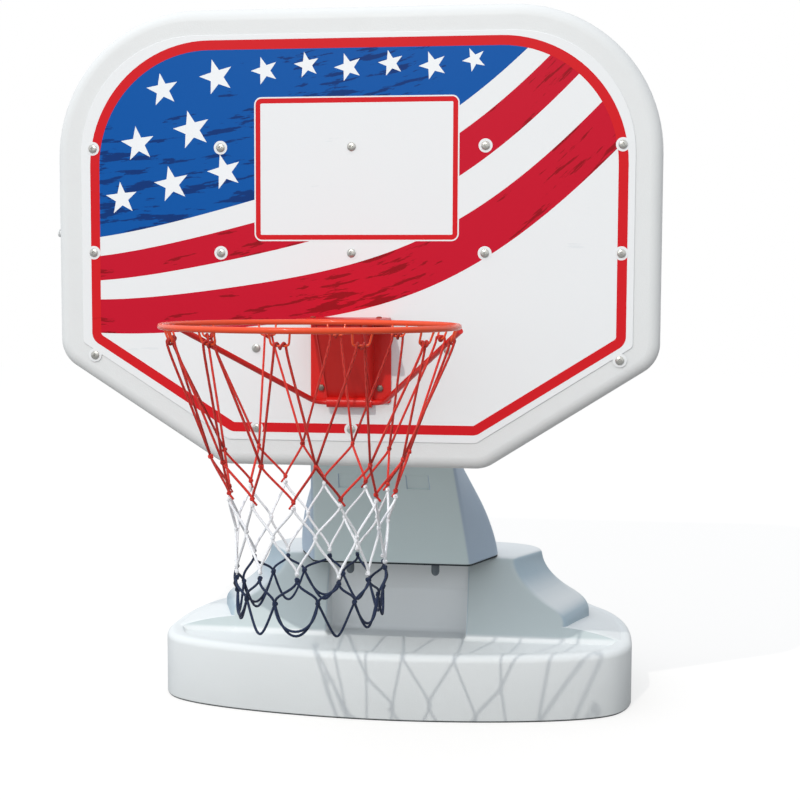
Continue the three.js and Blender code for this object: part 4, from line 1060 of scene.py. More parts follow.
TOP_HEAD, TOP_HEIGHT, TOP_SHANK, TOP_TIP = 0.0052, 0.0032, 0.003, 0.0004
for side in ("left", "right"):
    low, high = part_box(f"top_bolt_{side}")
    x, y, _ = middle_of(f"top_bolt_{side}")
    top = high[2] - TOP_HEIGHT
    stem = turned([(0, low[2]), (TOP_SHANK - TOP_TIP, low[2]), (TOP_SHANK, low[2] + 0.0006),
                   (TOP_SHANK, top)], 24, (x, y, 0))
    make(f"top_screw_{side}", together([pan_head((x, y, top), TOP_HEAD, TOP_HEIGHT, "Z"), stem]),
         painted_look, replaces=[f"top_bolt_{side}"])

# %% [markdown]
# ## Rim, bracket and brace
# The ring is a round steel rod bent to a circle, with wire staples welded under it for the net. The
# bracket is bent plate: each wall is an outline with soft corners, given a thickness and a broken
# edge. The brace is one rod, straight but for two bends.

# %% Rim
ring_low, ring_high = box_of("rim_ring")
ROD, RING_RADIUS = 0.0095, 0.23335
RIM_CENTRE = np.array([0.0, (ring_low[1] + ring_high[1]) / 2, ring_high[2] - ROD / 2])
HOOKS, HOOK_WIRE, HOOK_WIDTH, HOOK_DROP, HOOK_INSET = 12, 0.0035, 0.030, 0.022, 0.0095
HOOK_ROOT, HOOK_BAR_SHARE, HOOK_BEND = 0.003, 0.86, 0.006
BAR_RADIUS = RING_RADIUS - HOOK_INSET
HOOK_SPREAD = HOOK_WIDTH / 2 / BAR_RADIUS
UP = np.array([0.0, 0.0, 1.0])


def round_rim(angle, radius, height):
    """Points at angles in radians, radius from the rim's axis and height above the rim."""
    angle, radius, height = np.broadcast_arrays(angle, radius, height)
    return np.stack([radius * np.cos(angle), radius * np.sin(angle), height], axis=-1) + RIM_CENTRE


def bent_path(corners, reach, steps=8):
    """Path through corners: each inner one is replaced by a quadratic curve that starts and ends
    reach away from it, (1 - t)^2 a + 2 t (1 - t) corner + t^2 b."""
    corners = np.asarray(corners, float)
    here, before, after = corners[1:-1], corners[:-2], corners[2:]
    a = here + unit(before - here) * reach
    b = here + unit(after - here) * reach
    curves = bezier([a, here, b], steps)
    return np.concatenate([corners[:1], curves.transpose(1, 0, 2).reshape(-1, 3), corners[-1:]])


def hook_part(angle):
    """Staple: down from the ring, along under it, and up again."""
    inner, root = HOOK_SPREAD * HOOK_BAR_SHARE, RING_RADIUS - HOOK_ROOT
    corners = round_rim(angle + np.array([-HOOK_SPREAD, -inner, inner, HOOK_SPREAD]),
                        np.array([root, BAR_RADIUS, BAR_RADIUS, root]),
                        np.array([-HOOK_WIRE, -HOOK_DROP, -HOOK_DROP, -HOOK_WIRE]))
    outward = np.array([math.cos(angle), math.sin(angle), 0.0])
    return tube(bent_path(corners, HOOK_BEND), outward, HOOK_WIRE / 2, 12)


circle = round_rim(2 * np.pi * np.arange(288) / 288, RING_RADIUS, 0.0)
hook_angles = 2 * np.pi * np.arange(HOOKS) / HOOKS
make("rim", together([tube(circle, UP, ROD / 2, 24, closed=True)] + [hook_part(a) for a in hook_angles]),
     rim_look, replaces=["rim_ring"])

# %% Brace
BRACE_ROD, BRACE_BEND, BRACE_DROP, BRACE_FOOT = 0.010, 0.020, 0.008, 0.062
BRACE_ANGLE, TOUCH_GAP = math.radians(16), 0.0003
brace_low, brace_high = box_of("rim_brace")
reach = (ROD + BRACE_ROD) / 2 + TOUCH_GAP
end_radius = RING_RADIUS + math.sqrt(reach**2 - BRACE_DROP**2)
ends = round_rim(np.array([np.pi - BRACE_ANGLE, BRACE_ANGLE]), end_radius, -BRACE_DROP)
foot_y, foot_z = brace_high[1] - BRACE_ROD / 2, brace_low[2] + BRACE_ROD / 2
corners = [ends[0], (-BRACE_FOOT, foot_y, foot_z), (BRACE_FOOT, foot_y, foot_z), ends[1]]
make("brace", tube(bent_path(corners, BRACE_BEND, 16), UP, BRACE_ROD / 2, 24), bracket_look,
     replaces=["rim_brace"])


# %% Bracket
def plate(corners, low, high, axis, edge=0.0006, radius=0.002):
    """Flat plate: an outline from low to high along an axis, with its edges broken all round."""
    steps = [(low, edge), (low + edge, 0), (high - edge, 0), (high, edge)]
    rings = []
    for level, inset in steps:
        outline = rounded_outline(corners, [radius] * len(corners), inset, 5)
        u, v, w = outline[:, 0], outline[:, 1], np.full(len(outline), level)
        rings.append(np.stack({"X": (w, u, v), "Y": (u, w, v), "Z": (u, v, w)}[axis], axis=1))
    return ring_stack(rings)


bracket_low, bracket_high = box_of("rim_bracket")
PLATE, PLATE_HEIGHT, GUSSET = 0.004, 0.157, 0.040
TOP_REACH, FOOT_REACH, FOOT_LIFT, LIP, WELD_DEPTH = 0.128, 0.012, 0.010, 0.016, 0.001
PLATE_ROUND = 0.006
SLEEVE_RADIUS, SLEEVE_HALF, SLEEVE_EDGE = 0.0095, 0.042, 0.0006
half_plate, plate_back, plate_top = bracket_high
plate_face, plate_low = plate_back - PLATE, plate_top - PLATE_HEIGHT
lip_y, slope_y, inner_y = plate_face - TOP_REACH, plate_face - FOOT_REACH, plate_face + WELD_DEPTH
lip_z, slope_z, under_z = plate_top - LIP, plate_low + FOOT_LIFT, plate_top - WELD_DEPTH
gusset_corners = [(lip_y, lip_z), (slope_y, slope_z), (inner_y, slope_z), (inner_y, under_z),
                  (lip_y, under_z)]
slope_corners = [(lip_y, under_z), (lip_y, lip_z), (slope_y, slope_z), (slope_y + PLATE, slope_z),
                 (lip_y + PLATE, lip_z), (lip_y + PLATE, under_z)]


def sloping_wall():
    """Front wall: a lip and a slope, carried from one gusset to the other."""
    rings = [[(x, y, z) for y, z in slope_corners] for x in (-GUSSET, GUSSET)]
    return ring_stack(rings)


def sleeve():
    """Tube along X that holds the brace at the bracket's foot."""
    bore, outer, end, edge = BRACE_ROD / 2 + 0.0002, SLEEVE_RADIUS, SLEEVE_HALF, SLEEVE_EDGE
    profile = [(bore, -end), (outer - edge, -end), (outer, edge - end), (outer, end - edge),
               (outer - edge, end), (bore, end), (bore, -end)]
    return turned(profile, 48, (0, foot_y, foot_z), "-X")


back_outline = rectangle(-half_plate, half_plate, plate_low, plate_top)
top_outline = rectangle(-half_plate, half_plate, bracket_low[1], plate_face + PLATE / 2)
walls = [plate(back_outline, plate_face, plate_back, "Y", radius=PLATE_ROUND),
         plate(top_outline, plate_top - PLATE, plate_top, "Z", radius=PLATE_ROUND)]
walls += [plate(gusset_corners, x - PLATE / 2, x + PLATE / 2, "X") for x in (-GUSSET, GUSSET)]
walls += [sloping_wall(), sleeve()]
make("bracket", together(walls), bracket_look, replaces=["rim_bracket"])

# %% [markdown]
# ## The net
# The net is tied from one cord per colour: red hangs in loops on the staples, white makes the
# middle, and a looser navy cord ends it. Knots stand in rows, and from each knot two cords run to
# its neighbours in the row below. Every knot is a real overhand knot, the closed curve
# ((2 + cos 3t) cos 2t, (2 + cos 3t) sin 2t, 1.5 sin 3t), and a seeded shake keeps the rows from
# looking ruled.

# %% Net
CORD = 0.0041
NET_DROPS = np.array([0.203, 0.258, 0.317, 0.375, 0.418, 0.462])
NET_RADII = np.array([0.157, 0.134, 0.124, 0.121, 0.118, 0.113])
NET_SHAKE = np.array([0.0020, 0.0030, 0.0040, 0.0035, 0.0035])
# By row: the size of its knots, and how the cords below it bow outward and hang down
KNOT_SIZES = (0.0028, 0.0024, 0.0021, 0.0024, 0.0030)
CORD_SAGS, CORD_HANGS = (0.0, 0.001, 0.001, 0.006), (0.12, 0.2, 0.25, 0.45)
# Where the colour changes, the next cord's knots lie this far below, with sizes of their own
COLOUR_DROP, WHITE_KNOT, NAVY_KNOT = 0.0095, 0.0024, 0.0026
COIL_TURNS, COIL_SPREAD, COIL_LEAD = 1.5, math.radians(2.0), 0.012
TAIL_LENGTH, TAIL_DROP, TAIL_SHARE = 0.007, 0.002, 0.42
LOOP_DEPTH, LOOP_DEPTH_SHAKE, LOOP_NARROWER = 0.044, 0.008, (-0.038, -0.014)
LOOP_OUT, SECOND_SHORTER, SECOND_WIDER, SECOND_OUT = 0.004, 0.85, 0.012, 0.007
step_angle = 2 * np.pi / HOOKS
shake = np.random.default_rng(11)


def knot_spots():
    """Places (row, column, 3). Even rows stand between the staples, odd rows under them."""
    columns = np.arange(HOOKS)[None] + 0.5 * (1 - np.arange(5)[:, None] % 2)
    spots = round_rim(columns * step_angle, NET_RADII[:5, None], -NET_DROPS[:5, None])
    return spots + shake.normal(size=spots.shape) * NET_SHAKE[:, None, None]


def knot(place, size, twist):
    """Overhand knot about a place, drawn together until its turns touch."""
    t = 2 * np.pi * np.arange(36) / 36
    curve = np.stack([(2 + np.cos(3 * t)) * np.cos(2 * t), (2 + np.cos(3 * t)) * np.sin(2 * t),
                      1.5 * np.sin(3 * t)], axis=1) / 3 * size
    turn = np.array(Matrix.Rotation(twist, 3, "Z") @ Matrix.Rotation(math.pi / 2.3, 3, "X"))
    return tube(curve @ turn.T + place, (0.3, 0.2, 1.0), CORD / 2, 8, closed=True)


def outward_at(start, end):
    """Level direction away from the rim's axis, halfway between two places."""
    return unit(((start + end) / 2 - RIM_CENTRE) * [1, 1, 0])


def strand(start, end, sag, hang):
    """Cord between two places: outward bow by a sag, and a start and end that hang straight down
    by a share of the drop."""
    outward = outward_at(start, end)
    pull = np.array([0, 0, 1.0]) * (start[2] - end[2]) * hang
    path = bezier([start, start - pull + outward * sag, end + pull + outward * sag, end], 11)
    return tube(path, outward, CORD / 2, 8)


def tail(place, angle):
    """Short cut end that sticks out of a knot."""
    out = np.array([math.cos(angle), math.sin(angle), -0.9]) * TAIL_LENGTH
    path = bezier([place, place + out * 0.6, place + out - UP * TAIL_DROP], 5)
    return tube(path, (0.2, 0.1, 1.0), CORD * TAIL_SHARE, 8)


def told_apart(cords):
    """One part from cords, with UV X raised by each one's number for the braid to read."""
    return together([cord._replace(uvs=[uv + [number, 0] for uv in cord.uvs])
                     for number, cord in enumerate(cords)])


def hanging(column, left, right):
    """Cord up from one knot, in a coil round the staple's bar, and down to the next knot. The coil
    winds round the bar by phi while it moves along it from one side of the staple to the other."""
    t = np.linspace(0, 1, 61)
    middle = column * step_angle
    phi = 2 * np.pi * COIL_TURNS * t
    reach = (HOOK_WIRE + CORD) / 2 + TOUCH_GAP
    coil = round_rim(middle + COIL_SPREAD * (2 * t - 1), BAR_RADIUS + reach * np.cos(phi),
                     -HOOK_DROP + reach * np.sin(phi))
    up, down = (bezier([place, place * 0.35 + end * 0.65, end - UP * COIL_LEAD, end], 10)
                for place, end in ((left, coil[0]), (right, coil[-1])))
    path = np.concatenate([up[:-1], coil, down[::-1][1:]])
    return tube(path, unit(np.array([np.cos(middle), np.sin(middle), 0.4])), CORD / 2, 8)


def knot_row(places, size, twists):
    """Knots at all the places of a row."""
    return [knot(place, size, twist) for place, twist in zip(places, twists)]


def net_band(top, row):
    """Cords from every knot of a row to its two neighbours in the row below."""
    sides = (-1, 0) if row % 2 else (0, 1)
    return [strand(top[c], spots[row + 1, (c + side) % HOOKS], CORD_SAGS[row], CORD_HANGS[row])
            for c in range(HOOKS) for side in sides]


def bottom_loop(left, right, depth, width, sag):
    """Open loop between two knots: both pull points of its curve lie straight below them, at 4/3 of
    the depth, moved apart by a width."""
    apart = unit(right - left) * width
    outward = outward_at(left, right) * sag
    pull = outward - UP * depth * 4 / 3
    path = bezier([left, left + pull - apart, right + pull + apart, right], 21)
    return tube(path, outward, CORD / 2, 8)


spots = knot_spots()
below = spots - [0, 0, COLOUR_DROP]
turns = shake.uniform(0, 2 * np.pi, (6, HOOKS))
columns = range(HOOKS)
red = [hanging(c, spots[0, c - 1], spots[0, c]) for c in columns]
red += knot_row(spots[0], KNOT_SIZES[0], turns[0]) + net_band(spots[0], 0)
red += knot_row(spots[1], KNOT_SIZES[1], turns[1])
red += [tail(spots[1, c] - UP * TAIL_DROP, turns[2, c]) for c in columns]
white = knot_row(below[1], WHITE_KNOT, turns[2] + 1) + net_band(below[1], 1)
white += knot_row(spots[2], KNOT_SIZES[2], turns[2]) + net_band(spots[2], 2)
white += knot_row(spots[3], KNOT_SIZES[3], turns[3])
navy = knot_row(below[3], NAVY_KNOT, turns[3] + 1) + net_band(below[3], 3)
navy += knot_row(spots[4], KNOT_SIZES[4], turns[4])
loop_depths = LOOP_DEPTH + shake.uniform(-LOOP_DEPTH_SHAKE, LOOP_DEPTH_SHAKE, HOOKS)
loop_widths = shake.uniform(*LOOP_NARROWER, HOOKS)
navy += [bottom_loop(spots[4, c - 1], spots[4, c], loop_depths[c], loop_widths[c], LOOP_OUT)
         for c in columns]
navy += [bottom_loop(spots[4, c - 1], spots[4, c], loop_depths[c] * SECOND_SHORTER,
                     loop_widths[c] + SECOND_WIDER, SECOND_OUT)
         for c in columns if c % 2]
for name, cords, look, dye in (("net_top", red, red_cord, "red"),
                               ("net_middle", white, white_cord, "white"),
                               ("net_end", navy, navy_cord, "navy")):
    make(name, told_apart(cords), look, replaces=[f"net_{dye}"], crease=math.pi)

# %% [markdown]
# ## The tower
# The tower is a hollow column that leans back to front: its foot stands on the pedestal, its knee
# leans toward the player and its upper part lies flat on the board's back. Every level is one
# outline of five corners, mirrored, with soft quadratic corners. The breaks in the lean and in the
# shoulders are rounded by averaging each over a short height. Two shallow patches are sunk into
# the front by moving the points between four grid lines.

# %% Tower
FOOT_Z, KNEE_Z, MOUNT_Z = 0.315, 0.620, 0.935
tower_low, tower_high = box_of("tower")
TOWER_TOP, MOUNT_Y = tower_high[2], tower_low[1]
FOOT_FRONT, LEAN, FRONT_HALF, TAPER = -0.243, 0.619, 0.177, 0.0912
FOOT_DEPTH, TOP_DEPTH, SIDE_SHARE, BACK_SHARE = 0.250, 0.092, 0.552, 0.8
SHOULDER_LIFTS = np.array([0, 0.042, 0.085, 0.129, 0.177, 0.225, 0.260])
SHOULDER_HALVES = np.array([0.232, 0.227, 0.217, 0.203, 0.182, 0.1605, 0.144])
PATCH_LOW, PATCH_TOP, PATCH_SINK, PATCH_SHARES = 0.500, 0.534, 0.003, (0.3026, 0.618)
PATCH_EDGE, PATCH_SIDE, PATCH_CLEAR = 0.002, 0.012, 0.006
TOWER_CORNERS, LEAN_REACH, SHOULDER_REACH = (0.013, 0.020, 0.026), 0.035, 0.022
# Height and inset of the near-black strip under the tower's foot, a painted shadow gap.
SHADE_STRIP_HEIGHT, SHADE_STRIP_INSET = 0.0035, 0.0015
FLANGE_HALF, FLANGE_THICK, FLANGE_EDGE, FLANGE_ROUND = 0.152, 0.012, 0.002, 0.018
PEG_ROUND, PEG_STEM = 0.011, 0.004


def eased(function, z, reach):
    """Mean of a function over heights z - reach to z + reach."""
    return np.mean([function(z + d) for d in np.linspace(-reach, reach, 15)], axis=0)


def tower_front(z):
    """Depth of the front at heights z: a straight lean to the knee, another to the board."""
    knee_y = FOOT_FRONT - LEAN * (KNEE_Z - FOOT_Z)
    low = FOOT_FRONT - LEAN * (z - FOOT_Z)
    high = knee_y + (MOUNT_Y - knee_y) * np.clip((z - KNEE_Z) / (MOUNT_Z - KNEE_Z), 0, 1)
    return np.where(z <= KNEE_Z, low, high)


def tower_side(z):
    """Half width at heights z: the shoulders, and never less than the front's."""
    front = FRONT_HALF - TAPER * (z - FOOT_Z)
    return np.maximum(np.interp(z - FOOT_Z, SHOULDER_LIFTS, SHOULDER_HALVES), front + 0.0003)


def corner_levels(*pairs):
    """Corners (levels, corners, 2) from pairs of x and y over the levels."""
    return np.stack([np.stack(pair, axis=1) for pair in pairs], axis=1)


def soft_corners(corners, reaches, steps):
    """Quadratic curves (levels, corners, steps, 2) round the inner corners of open outlines. Each
    starts and ends a reach from its corner, or at 0.45 of a side that is too short for it."""
    before, here, after = corners[:, :-2], corners[:, 1:-1], corners[:, 2:]
    reaches = np.asarray(reaches)[None, :, None]
    a, b = (here + unit(other - here)
            * np.minimum(reaches, 0.45 * np.linalg.norm(other - here, axis=-1, keepdims=True))
            for other in (before, after))
    return np.moveaxis(bezier([a, here, b], steps), 0, 2)


def joined_levels(x, y, z):
    """Closed rings from right halves: the left half is the mirror image, walked back."""
    right = np.stack([x, y, np.broadcast_to(z[:, None], x.shape)], axis=-1)
    left = right[:, -2:0:-1] * [-1, 1, 1]
    return np.concatenate([right, left], axis=1)


def tower_rings(z, inset):
    """Rings of the tower at heights z, moved inward by insets."""
    front = np.maximum(eased(tower_front, z, LEAN_REACH), MOUNT_Y) + inset
    depth = FOOT_DEPTH + (TOP_DEPTH - FOOT_DEPTH) * (z - FOOT_Z) / (TOWER_TOP - FOOT_Z) - 2 * inset
    front_half = FRONT_HALF - TAPER * (z - FOOT_Z) - inset
    widest = eased(tower_side, z, SHOULDER_REACH) - inset
    side_y, back = front + depth * SIDE_SHARE, front + depth
    zero = 0 * z
    corners = corner_levels((zero, front), (front_half, front), (widest, side_y),
                            (widest * BACK_SHARE, back), (zero, back))
    curves = soft_corners(corners, TOWER_CORNERS, 9)
    low, high = PATCH_SHARES
    shares = np.array([0, 0.15, low, low + PATCH_SIDE, 0.4, 0.52, high - PATCH_SIDE, high, 0.75])
    front_x = front_half[:, None] * shares
    front_y = np.broadcast_to(front[:, None], front_x.shape).copy()
    sunk = (shares > low + PATCH_SIDE / 2) & (shares < high - PATCH_SIDE / 2)
    level = (z > PATCH_LOW + PATCH_EDGE / 2) & (z < PATCH_TOP - PATCH_EDGE / 2)
    front_y[np.ix_(level, sunk)] += PATCH_SINK
    flat = curves.reshape(len(z), -1, 2)
    back_x = flat[:, -1:, 0] * np.array([0.66, 0.33, 0])
    x = np.concatenate([front_x, flat[..., 0], back_x], axis=1)
    y = np.concatenate([front_y, flat[..., 1], np.broadcast_to(back[:, None], back_x.shape)], axis=1)
    return joined_levels(x, y, z)


def tower_part():
    """Stack from the foot's rounded edge to the top's."""
    sine, cosine = quarter(5)
    foot, foot_edge, top_edge = FOOT_Z + SHADE_STRIP_HEIGHT, 0.004, 0.010
    plain = np.r_[np.linspace(foot + 1.5 * foot_edge, PATCH_LOW - PATCH_CLEAR, 36),
                  PATCH_LOW, PATCH_LOW + PATCH_EDGE, 0.51, 0.524, PATCH_TOP - PATCH_EDGE, PATCH_TOP,
                  np.linspace(PATCH_TOP + PATCH_CLEAR, TOWER_TOP - 1.2 * top_edge, 80)]
    z = np.r_[foot, foot + foot_edge * (1 - cosine), plain,
              TOWER_TOP - top_edge * (1 - sine), TOWER_TOP]
    inset = np.r_[foot_edge + HOLD, foot_edge * (1 - sine), 0 * plain,
                  top_edge * (1 - cosine), top_edge + HOLD]
    return ring_stack(tower_rings(z, inset))


flange = plate(rectangle(-FLANGE_HALF, FLANGE_HALF, MOUNT_Z, TOWER_TOP), MOUNT_Y, MOUNT_Y + FLANGE_THICK,
               "Y", edge=FLANGE_EDGE, radius=FLANGE_ROUND)
make("tower_body", together([tower_part(), flange]), tower_look, replaces=["tower"])

# Painted shade: a near-black strip under the tower's foot stands in for the shadow gap there.
shade_strip_z = np.array([FOOT_Z, FOOT_Z + SHADE_STRIP_HEIGHT + TOUCH_GAP])
make("tower_seam", ring_stack(tower_rings(shade_strip_z, np.full(2, SHADE_STRIP_INSET))), shade_strip_look)

for side in ("left", "right"):
    low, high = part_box(f"tower_peg_{side}")
    x, y, _ = middle_of(f"tower_peg_{side}")
    radius, foot, seat = (high[0] - low[0]) / 2, low[2], FOOT_Z - TOUCH_GAP
    sine, cosine = quarter(7)
    profile = [(radius * s, foot + PEG_ROUND * (1 - c)) for s, c in zip(sine, cosine)]
    profile += [(radius, seat - 0.001), (radius - 0.001, seat), (PEG_STEM, seat), (PEG_STEM, high[2]),
                (0, high[2])]
    make(f"peg_{side}", turned(profile, 40, (x, y, 0)), dark_look,
         replaces=[f"tower_peg_{side}"])

# %% [markdown]
# ## The tank
# The tank's plan is four joined curves, mirrored. A stack of insets of that plan makes the foot
# edge, the wall, the rounded rim, the flat lip and the sunken deck. The pedestal is a second stack
# on the deck: its outline runs round the alcove, along the front and over the rounded flank, and it
# flares toward the deck with the square of the height left.

# %% Tank
TANK_HALF, TANK_FRONT, TANK_BACK, TANK_TOP = 0.536, 0.378, 0.350, 0.144
TANK_EDGE, TANK_FOOT, LIP_WIDTH, DECK_Z, DECK_SLOPE = 0.016, 0.005, 0.034, 0.134, 0.008
FRONT_CURVE = [[0, -1], [0.2924, -1], [0.8209, -0.9048], [0.9328, -0.6892]]
CORNER_CURVE = [[0.9328, -0.6892], [0.9813, -0.5952], [0.9925, -0.4497]]
SIDE_CURVE = [[0.9925, -0.4497], [0.9981, -0.2116], [0.9981, 0.2], [0.873, 0.486]]
REAR_CURVE = [[0.873, 0.486], [0.78, 0.7], [0.74, 0.98], [0.54, 0.99]]
END_CURVE = [[0.54, 0.99], [0.36, 1.0], [0.18, 1.0], [0, 1]]


def tank_plan():
    """Closed plan of the tank: right half by joined curves, then its mirror image."""
    curves = [bezier(c, steps)[:-1] for c, steps in ((FRONT_CURVE, 33), (CORNER_CURVE, 15),
                                                     (SIDE_CURVE, 21), (REAR_CURVE, 21),
                                                     (END_CURVE, 13))]
    half = np.concatenate(curves + [np.array([[0.0, 1.0]])])
    half *= np.stack([np.full(len(half), TANK_HALF), np.where(half[:, 1] < 0, TANK_FRONT, TANK_BACK)],
                     axis=1)
    return np.concatenate([half, half[-2:0:-1] * [-1, 1]])


def inset_plan(plan, inset):
    """Plan moved inward along its normals, (-y, x) of the direction between its neighbours."""
    along = unit(np.roll(plan, -1, axis=0) - np.roll(plan, 1, axis=0))
    return plan + np.stack([-along[:, 1], along[:, 0]], axis=1) * inset


def tank_part():
    """Stack from the foot edge up the wall, over the lip and down to the deck."""
    plan = tank_plan()
    sine, cosine = quarter(7)
    wall_top = TANK_TOP - TANK_EDGE
    levels = [(TANK_FOOT + HOLD, 0)]
    levels += [(TANK_FOOT * (1 - s), TANK_FOOT * (1 - c)) for s, c in zip(sine, cosine)]
    levels += [(TANK_EDGE * (1 - c), wall_top + TANK_EDGE * s) for s, c in zip(sine, cosine)]
    soft, slope_end = 0.001, LIP_WIDTH + DECK_SLOPE
    levels += [(TANK_EDGE + HOLD, TANK_TOP), (LIP_WIDTH - 2 * soft, TANK_TOP),
               (LIP_WIDTH + soft, TANK_TOP - soft), (slope_end - soft, DECK_Z + soft),
               (slope_end + 2 * soft, DECK_Z), (slope_end + 4 * soft, DECK_Z)]
    rings = [np.c_[inset_plan(plan, inset), np.full(len(plan), z)] for inset, z in levels]
    return ring_stack(rings)


ALCOVE_HALF, ALCOVE_Y, ALCOVE_STEP, ALCOVE_STEP_Z = 0.160, -0.100, 0.012, 0.238
PEDESTAL_FRONT, PEDESTAL_LEAN = -0.180, 0.066
PEDESTAL_HALF, PEDESTAL_MID, PEDESTAL_BACK = 0.265, 0.323, 0.092
FLARE, MID_FLARE, BACK_FLARE, FLARE_START, FLARE_REACH = 0.119, 0.112, 0.106, 0.193, 0.016
MID_Y, BACK_CORNER, PEDESTAL_CORNERS = -0.010, 0.45, (0.008, 0.007, 0.016)
PEDESTAL_TOP, PEDESTAL_EDGE, FILLET, STEP_EDGE, SUNK = 0.3147, 0.008, 0.010, 0.003, 0.004


def flare_at(z):
    """Share of the flare at heights z: the square of the height left, over the height of the flare."""
    rise = np.clip((z - FLARE_START) / (PEDESTAL_TOP - FLARE_START), 0, 1)
    return (1 - rise) ** 2


def pedestal_lean(z):
    """How far the front has leaned back at a height over the deck."""
    return PEDESTAL_LEAN * np.clip((z - DECK_Z) / (FOOT_Z - DECK_Z), 0, None)


def pedestal_part():
    """Stack on the deck. inset rounds the foot and the top, and sunk steps the alcove's back."""
    sine, cosine = quarter(7)
    wall = np.linspace(DECK_Z + FILLET, ALCOVE_STEP_Z - STEP_EDGE, 14)[1:]
    upper = np.linspace(ALCOVE_STEP_Z + 2 * STEP_EDGE, PEDESTAL_TOP - PEDESTAL_EDGE, 12)
    z = np.r_[DECK_Z - SUNK, DECK_Z + FILLET * (1 - cosine), wall,
              ALCOVE_STEP_Z - STEP_EDGE * (1 - sine), ALCOVE_STEP_Z, upper,
              PEDESTAL_TOP - PEDESTAL_EDGE * (1 - sine), PEDESTAL_TOP]
    inset = np.r_[-FILLET, -FILLET * (1 - sine), 0 * wall, 0 * sine, 0, 0 * upper,
                  PEDESTAL_EDGE * (1 - cosine), PEDESTAL_EDGE + HOLD]
    sunk = np.r_[0, 0 * sine, 0 * wall, STEP_EDGE * (1 - cosine), ALCOVE_STEP,
                 0 * upper + ALCOVE_STEP, 0 * sine + ALCOVE_STEP, ALCOVE_STEP]
    flare = eased(flare_at, z, FLARE_REACH)
    half = PEDESTAL_HALF + FLARE * flare - inset
    middle = PEDESTAL_MID + MID_FLARE * flare - inset
    back = PEDESTAL_BACK + BACK_FLARE * flare - inset
    front, alcove = PEDESTAL_FRONT + pedestal_lean(z) + inset, ALCOVE_Y - sunk + inset
    side = ALCOVE_HALF + np.maximum(inset, -0.006)
    zero = 0 * z
    corners = corner_levels((zero, alcove), (side, alcove), (side, front), (half, front),
                            (middle, zero + MID_Y))
    curves = soft_corners(corners, PEDESTAL_CORNERS, 8).reshape(len(z), -1, 2)
    pulls = corner_levels((middle, zero + MID_Y), (middle, back), (middle * BACK_CORNER, back))
    flank = bezier(pulls.transpose(1, 0, 2), 25).transpose(1, 0, 2)
    inner = corner_levels(*((side * share, alcove) for share in (0, 0.35, 0.7)))
    end = corner_levels((zero, back))
    right = np.concatenate([inner, curves, flank, end], axis=1)
    return ring_stack(joined_levels(right[..., 0], right[..., 1], z))


SIDE_DECK_INNER, SIDE_DECK_SOFT, SIDE_DECK_SHORTER, SIDE_DECK_BEHIND = 0.300, 0.012, 1.6, 0.001
SIDE_DECK_EDGE = np.array([[0.532, -0.180], [0.533, -0.090], [0.525, 0.0], [0.505, 0.090],
                           [0.465, 0.175]])
SIDE_DECK_RISE = np.array([[0.022, 0.143], [0.034, 0.147], [0.050, 0.152], [0.079, 0.159],
                           [0.112, 0.165], [0.150, 0.169]])


def side_deck(sign):
    """Raised deck beside the pedestal. One cubic gives its edge, x over y, and another its rise, z
    over the way inward. Each level is that edge moved inward, with a soft corner at its front."""
    edge = np.polyfit(*SIDE_DECK_EDGE[:, ::-1].T, 3)
    inward = np.linspace(SIDE_DECK_RISE[0, 0], SIDE_DECK_RISE[-1, 0], 16)
    z = np.polyval(np.polyfit(*SIDE_DECK_RISE.T, 3), inward)
    inward, z = np.r_[inward[0], inward], np.r_[DECK_Z - SUNK, z]
    front, back = SIDE_DECK_EDGE[[0, -1], 1]
    y = np.linspace(front + SIDE_DECK_SOFT, back, 20)
    x = np.polyval(edge, y)
    corner_x = np.polyval(edge, front)
    soft = bezier([[corner_x - SIDE_DECK_SOFT, front], [corner_x, front], [x[0], y[0]]], 7)[:-1]
    outline = np.concatenate([soft, np.stack([x, y], axis=1)])
    moved_x = outline[:, 0] - inward[:, None]
    lean = pedestal_lean(z)[:, None]
    moved_y = front + lean + (outline[:, 1] - front) * (1 - SIDE_DECK_SHORTER * inward[:, None])
    inner_x = np.full((len(z), 1), SIDE_DECK_INNER)
    ring_x = np.concatenate([inner_x, moved_x[:, :1] - HOLD, moved_x, inner_x], axis=1)
    ring_y = np.concatenate([front + lean, front + lean, moved_y, moved_y[:, -1:]], axis=1)
    ring_y = ring_y + SIDE_DECK_BEHIND
    ring_z = np.broadcast_to(z[:, None], ring_x.shape)
    return ring_stack(np.stack([sign * ring_x, ring_y, ring_z], axis=-1))


make("tank", together([tank_part(), pedestal_part(), side_deck(1), side_deck(-1)]), tank_look,
     replaces=["base_tank"])

# %% [markdown]
# ## Caps, gaskets and the plate behind the board
# Each cap is turned: a threaded plug, a flange with a ribbed edge, and a grip bar across it. The
# gasket is a flat ring with rounded edges. They ride on the bodies that the model moves.

# %% Caps and the rest
PLUG_SHARE, RIBS, RIB_DEPTH, THREAD_DEPTH = 0.74, 36, 0.018, 0.03
CAP_EDGE_SHARE, CAP_FLANGE, CAP_GRIP_HALF, CAP_GRIP_THICK = 0.0012 / 0.033, 0.012, 0.022, 0.008
CAP_DISH, CAP_DISH_RADIUS = 0.72, 0.86
SEAL_MARGIN = 0.02


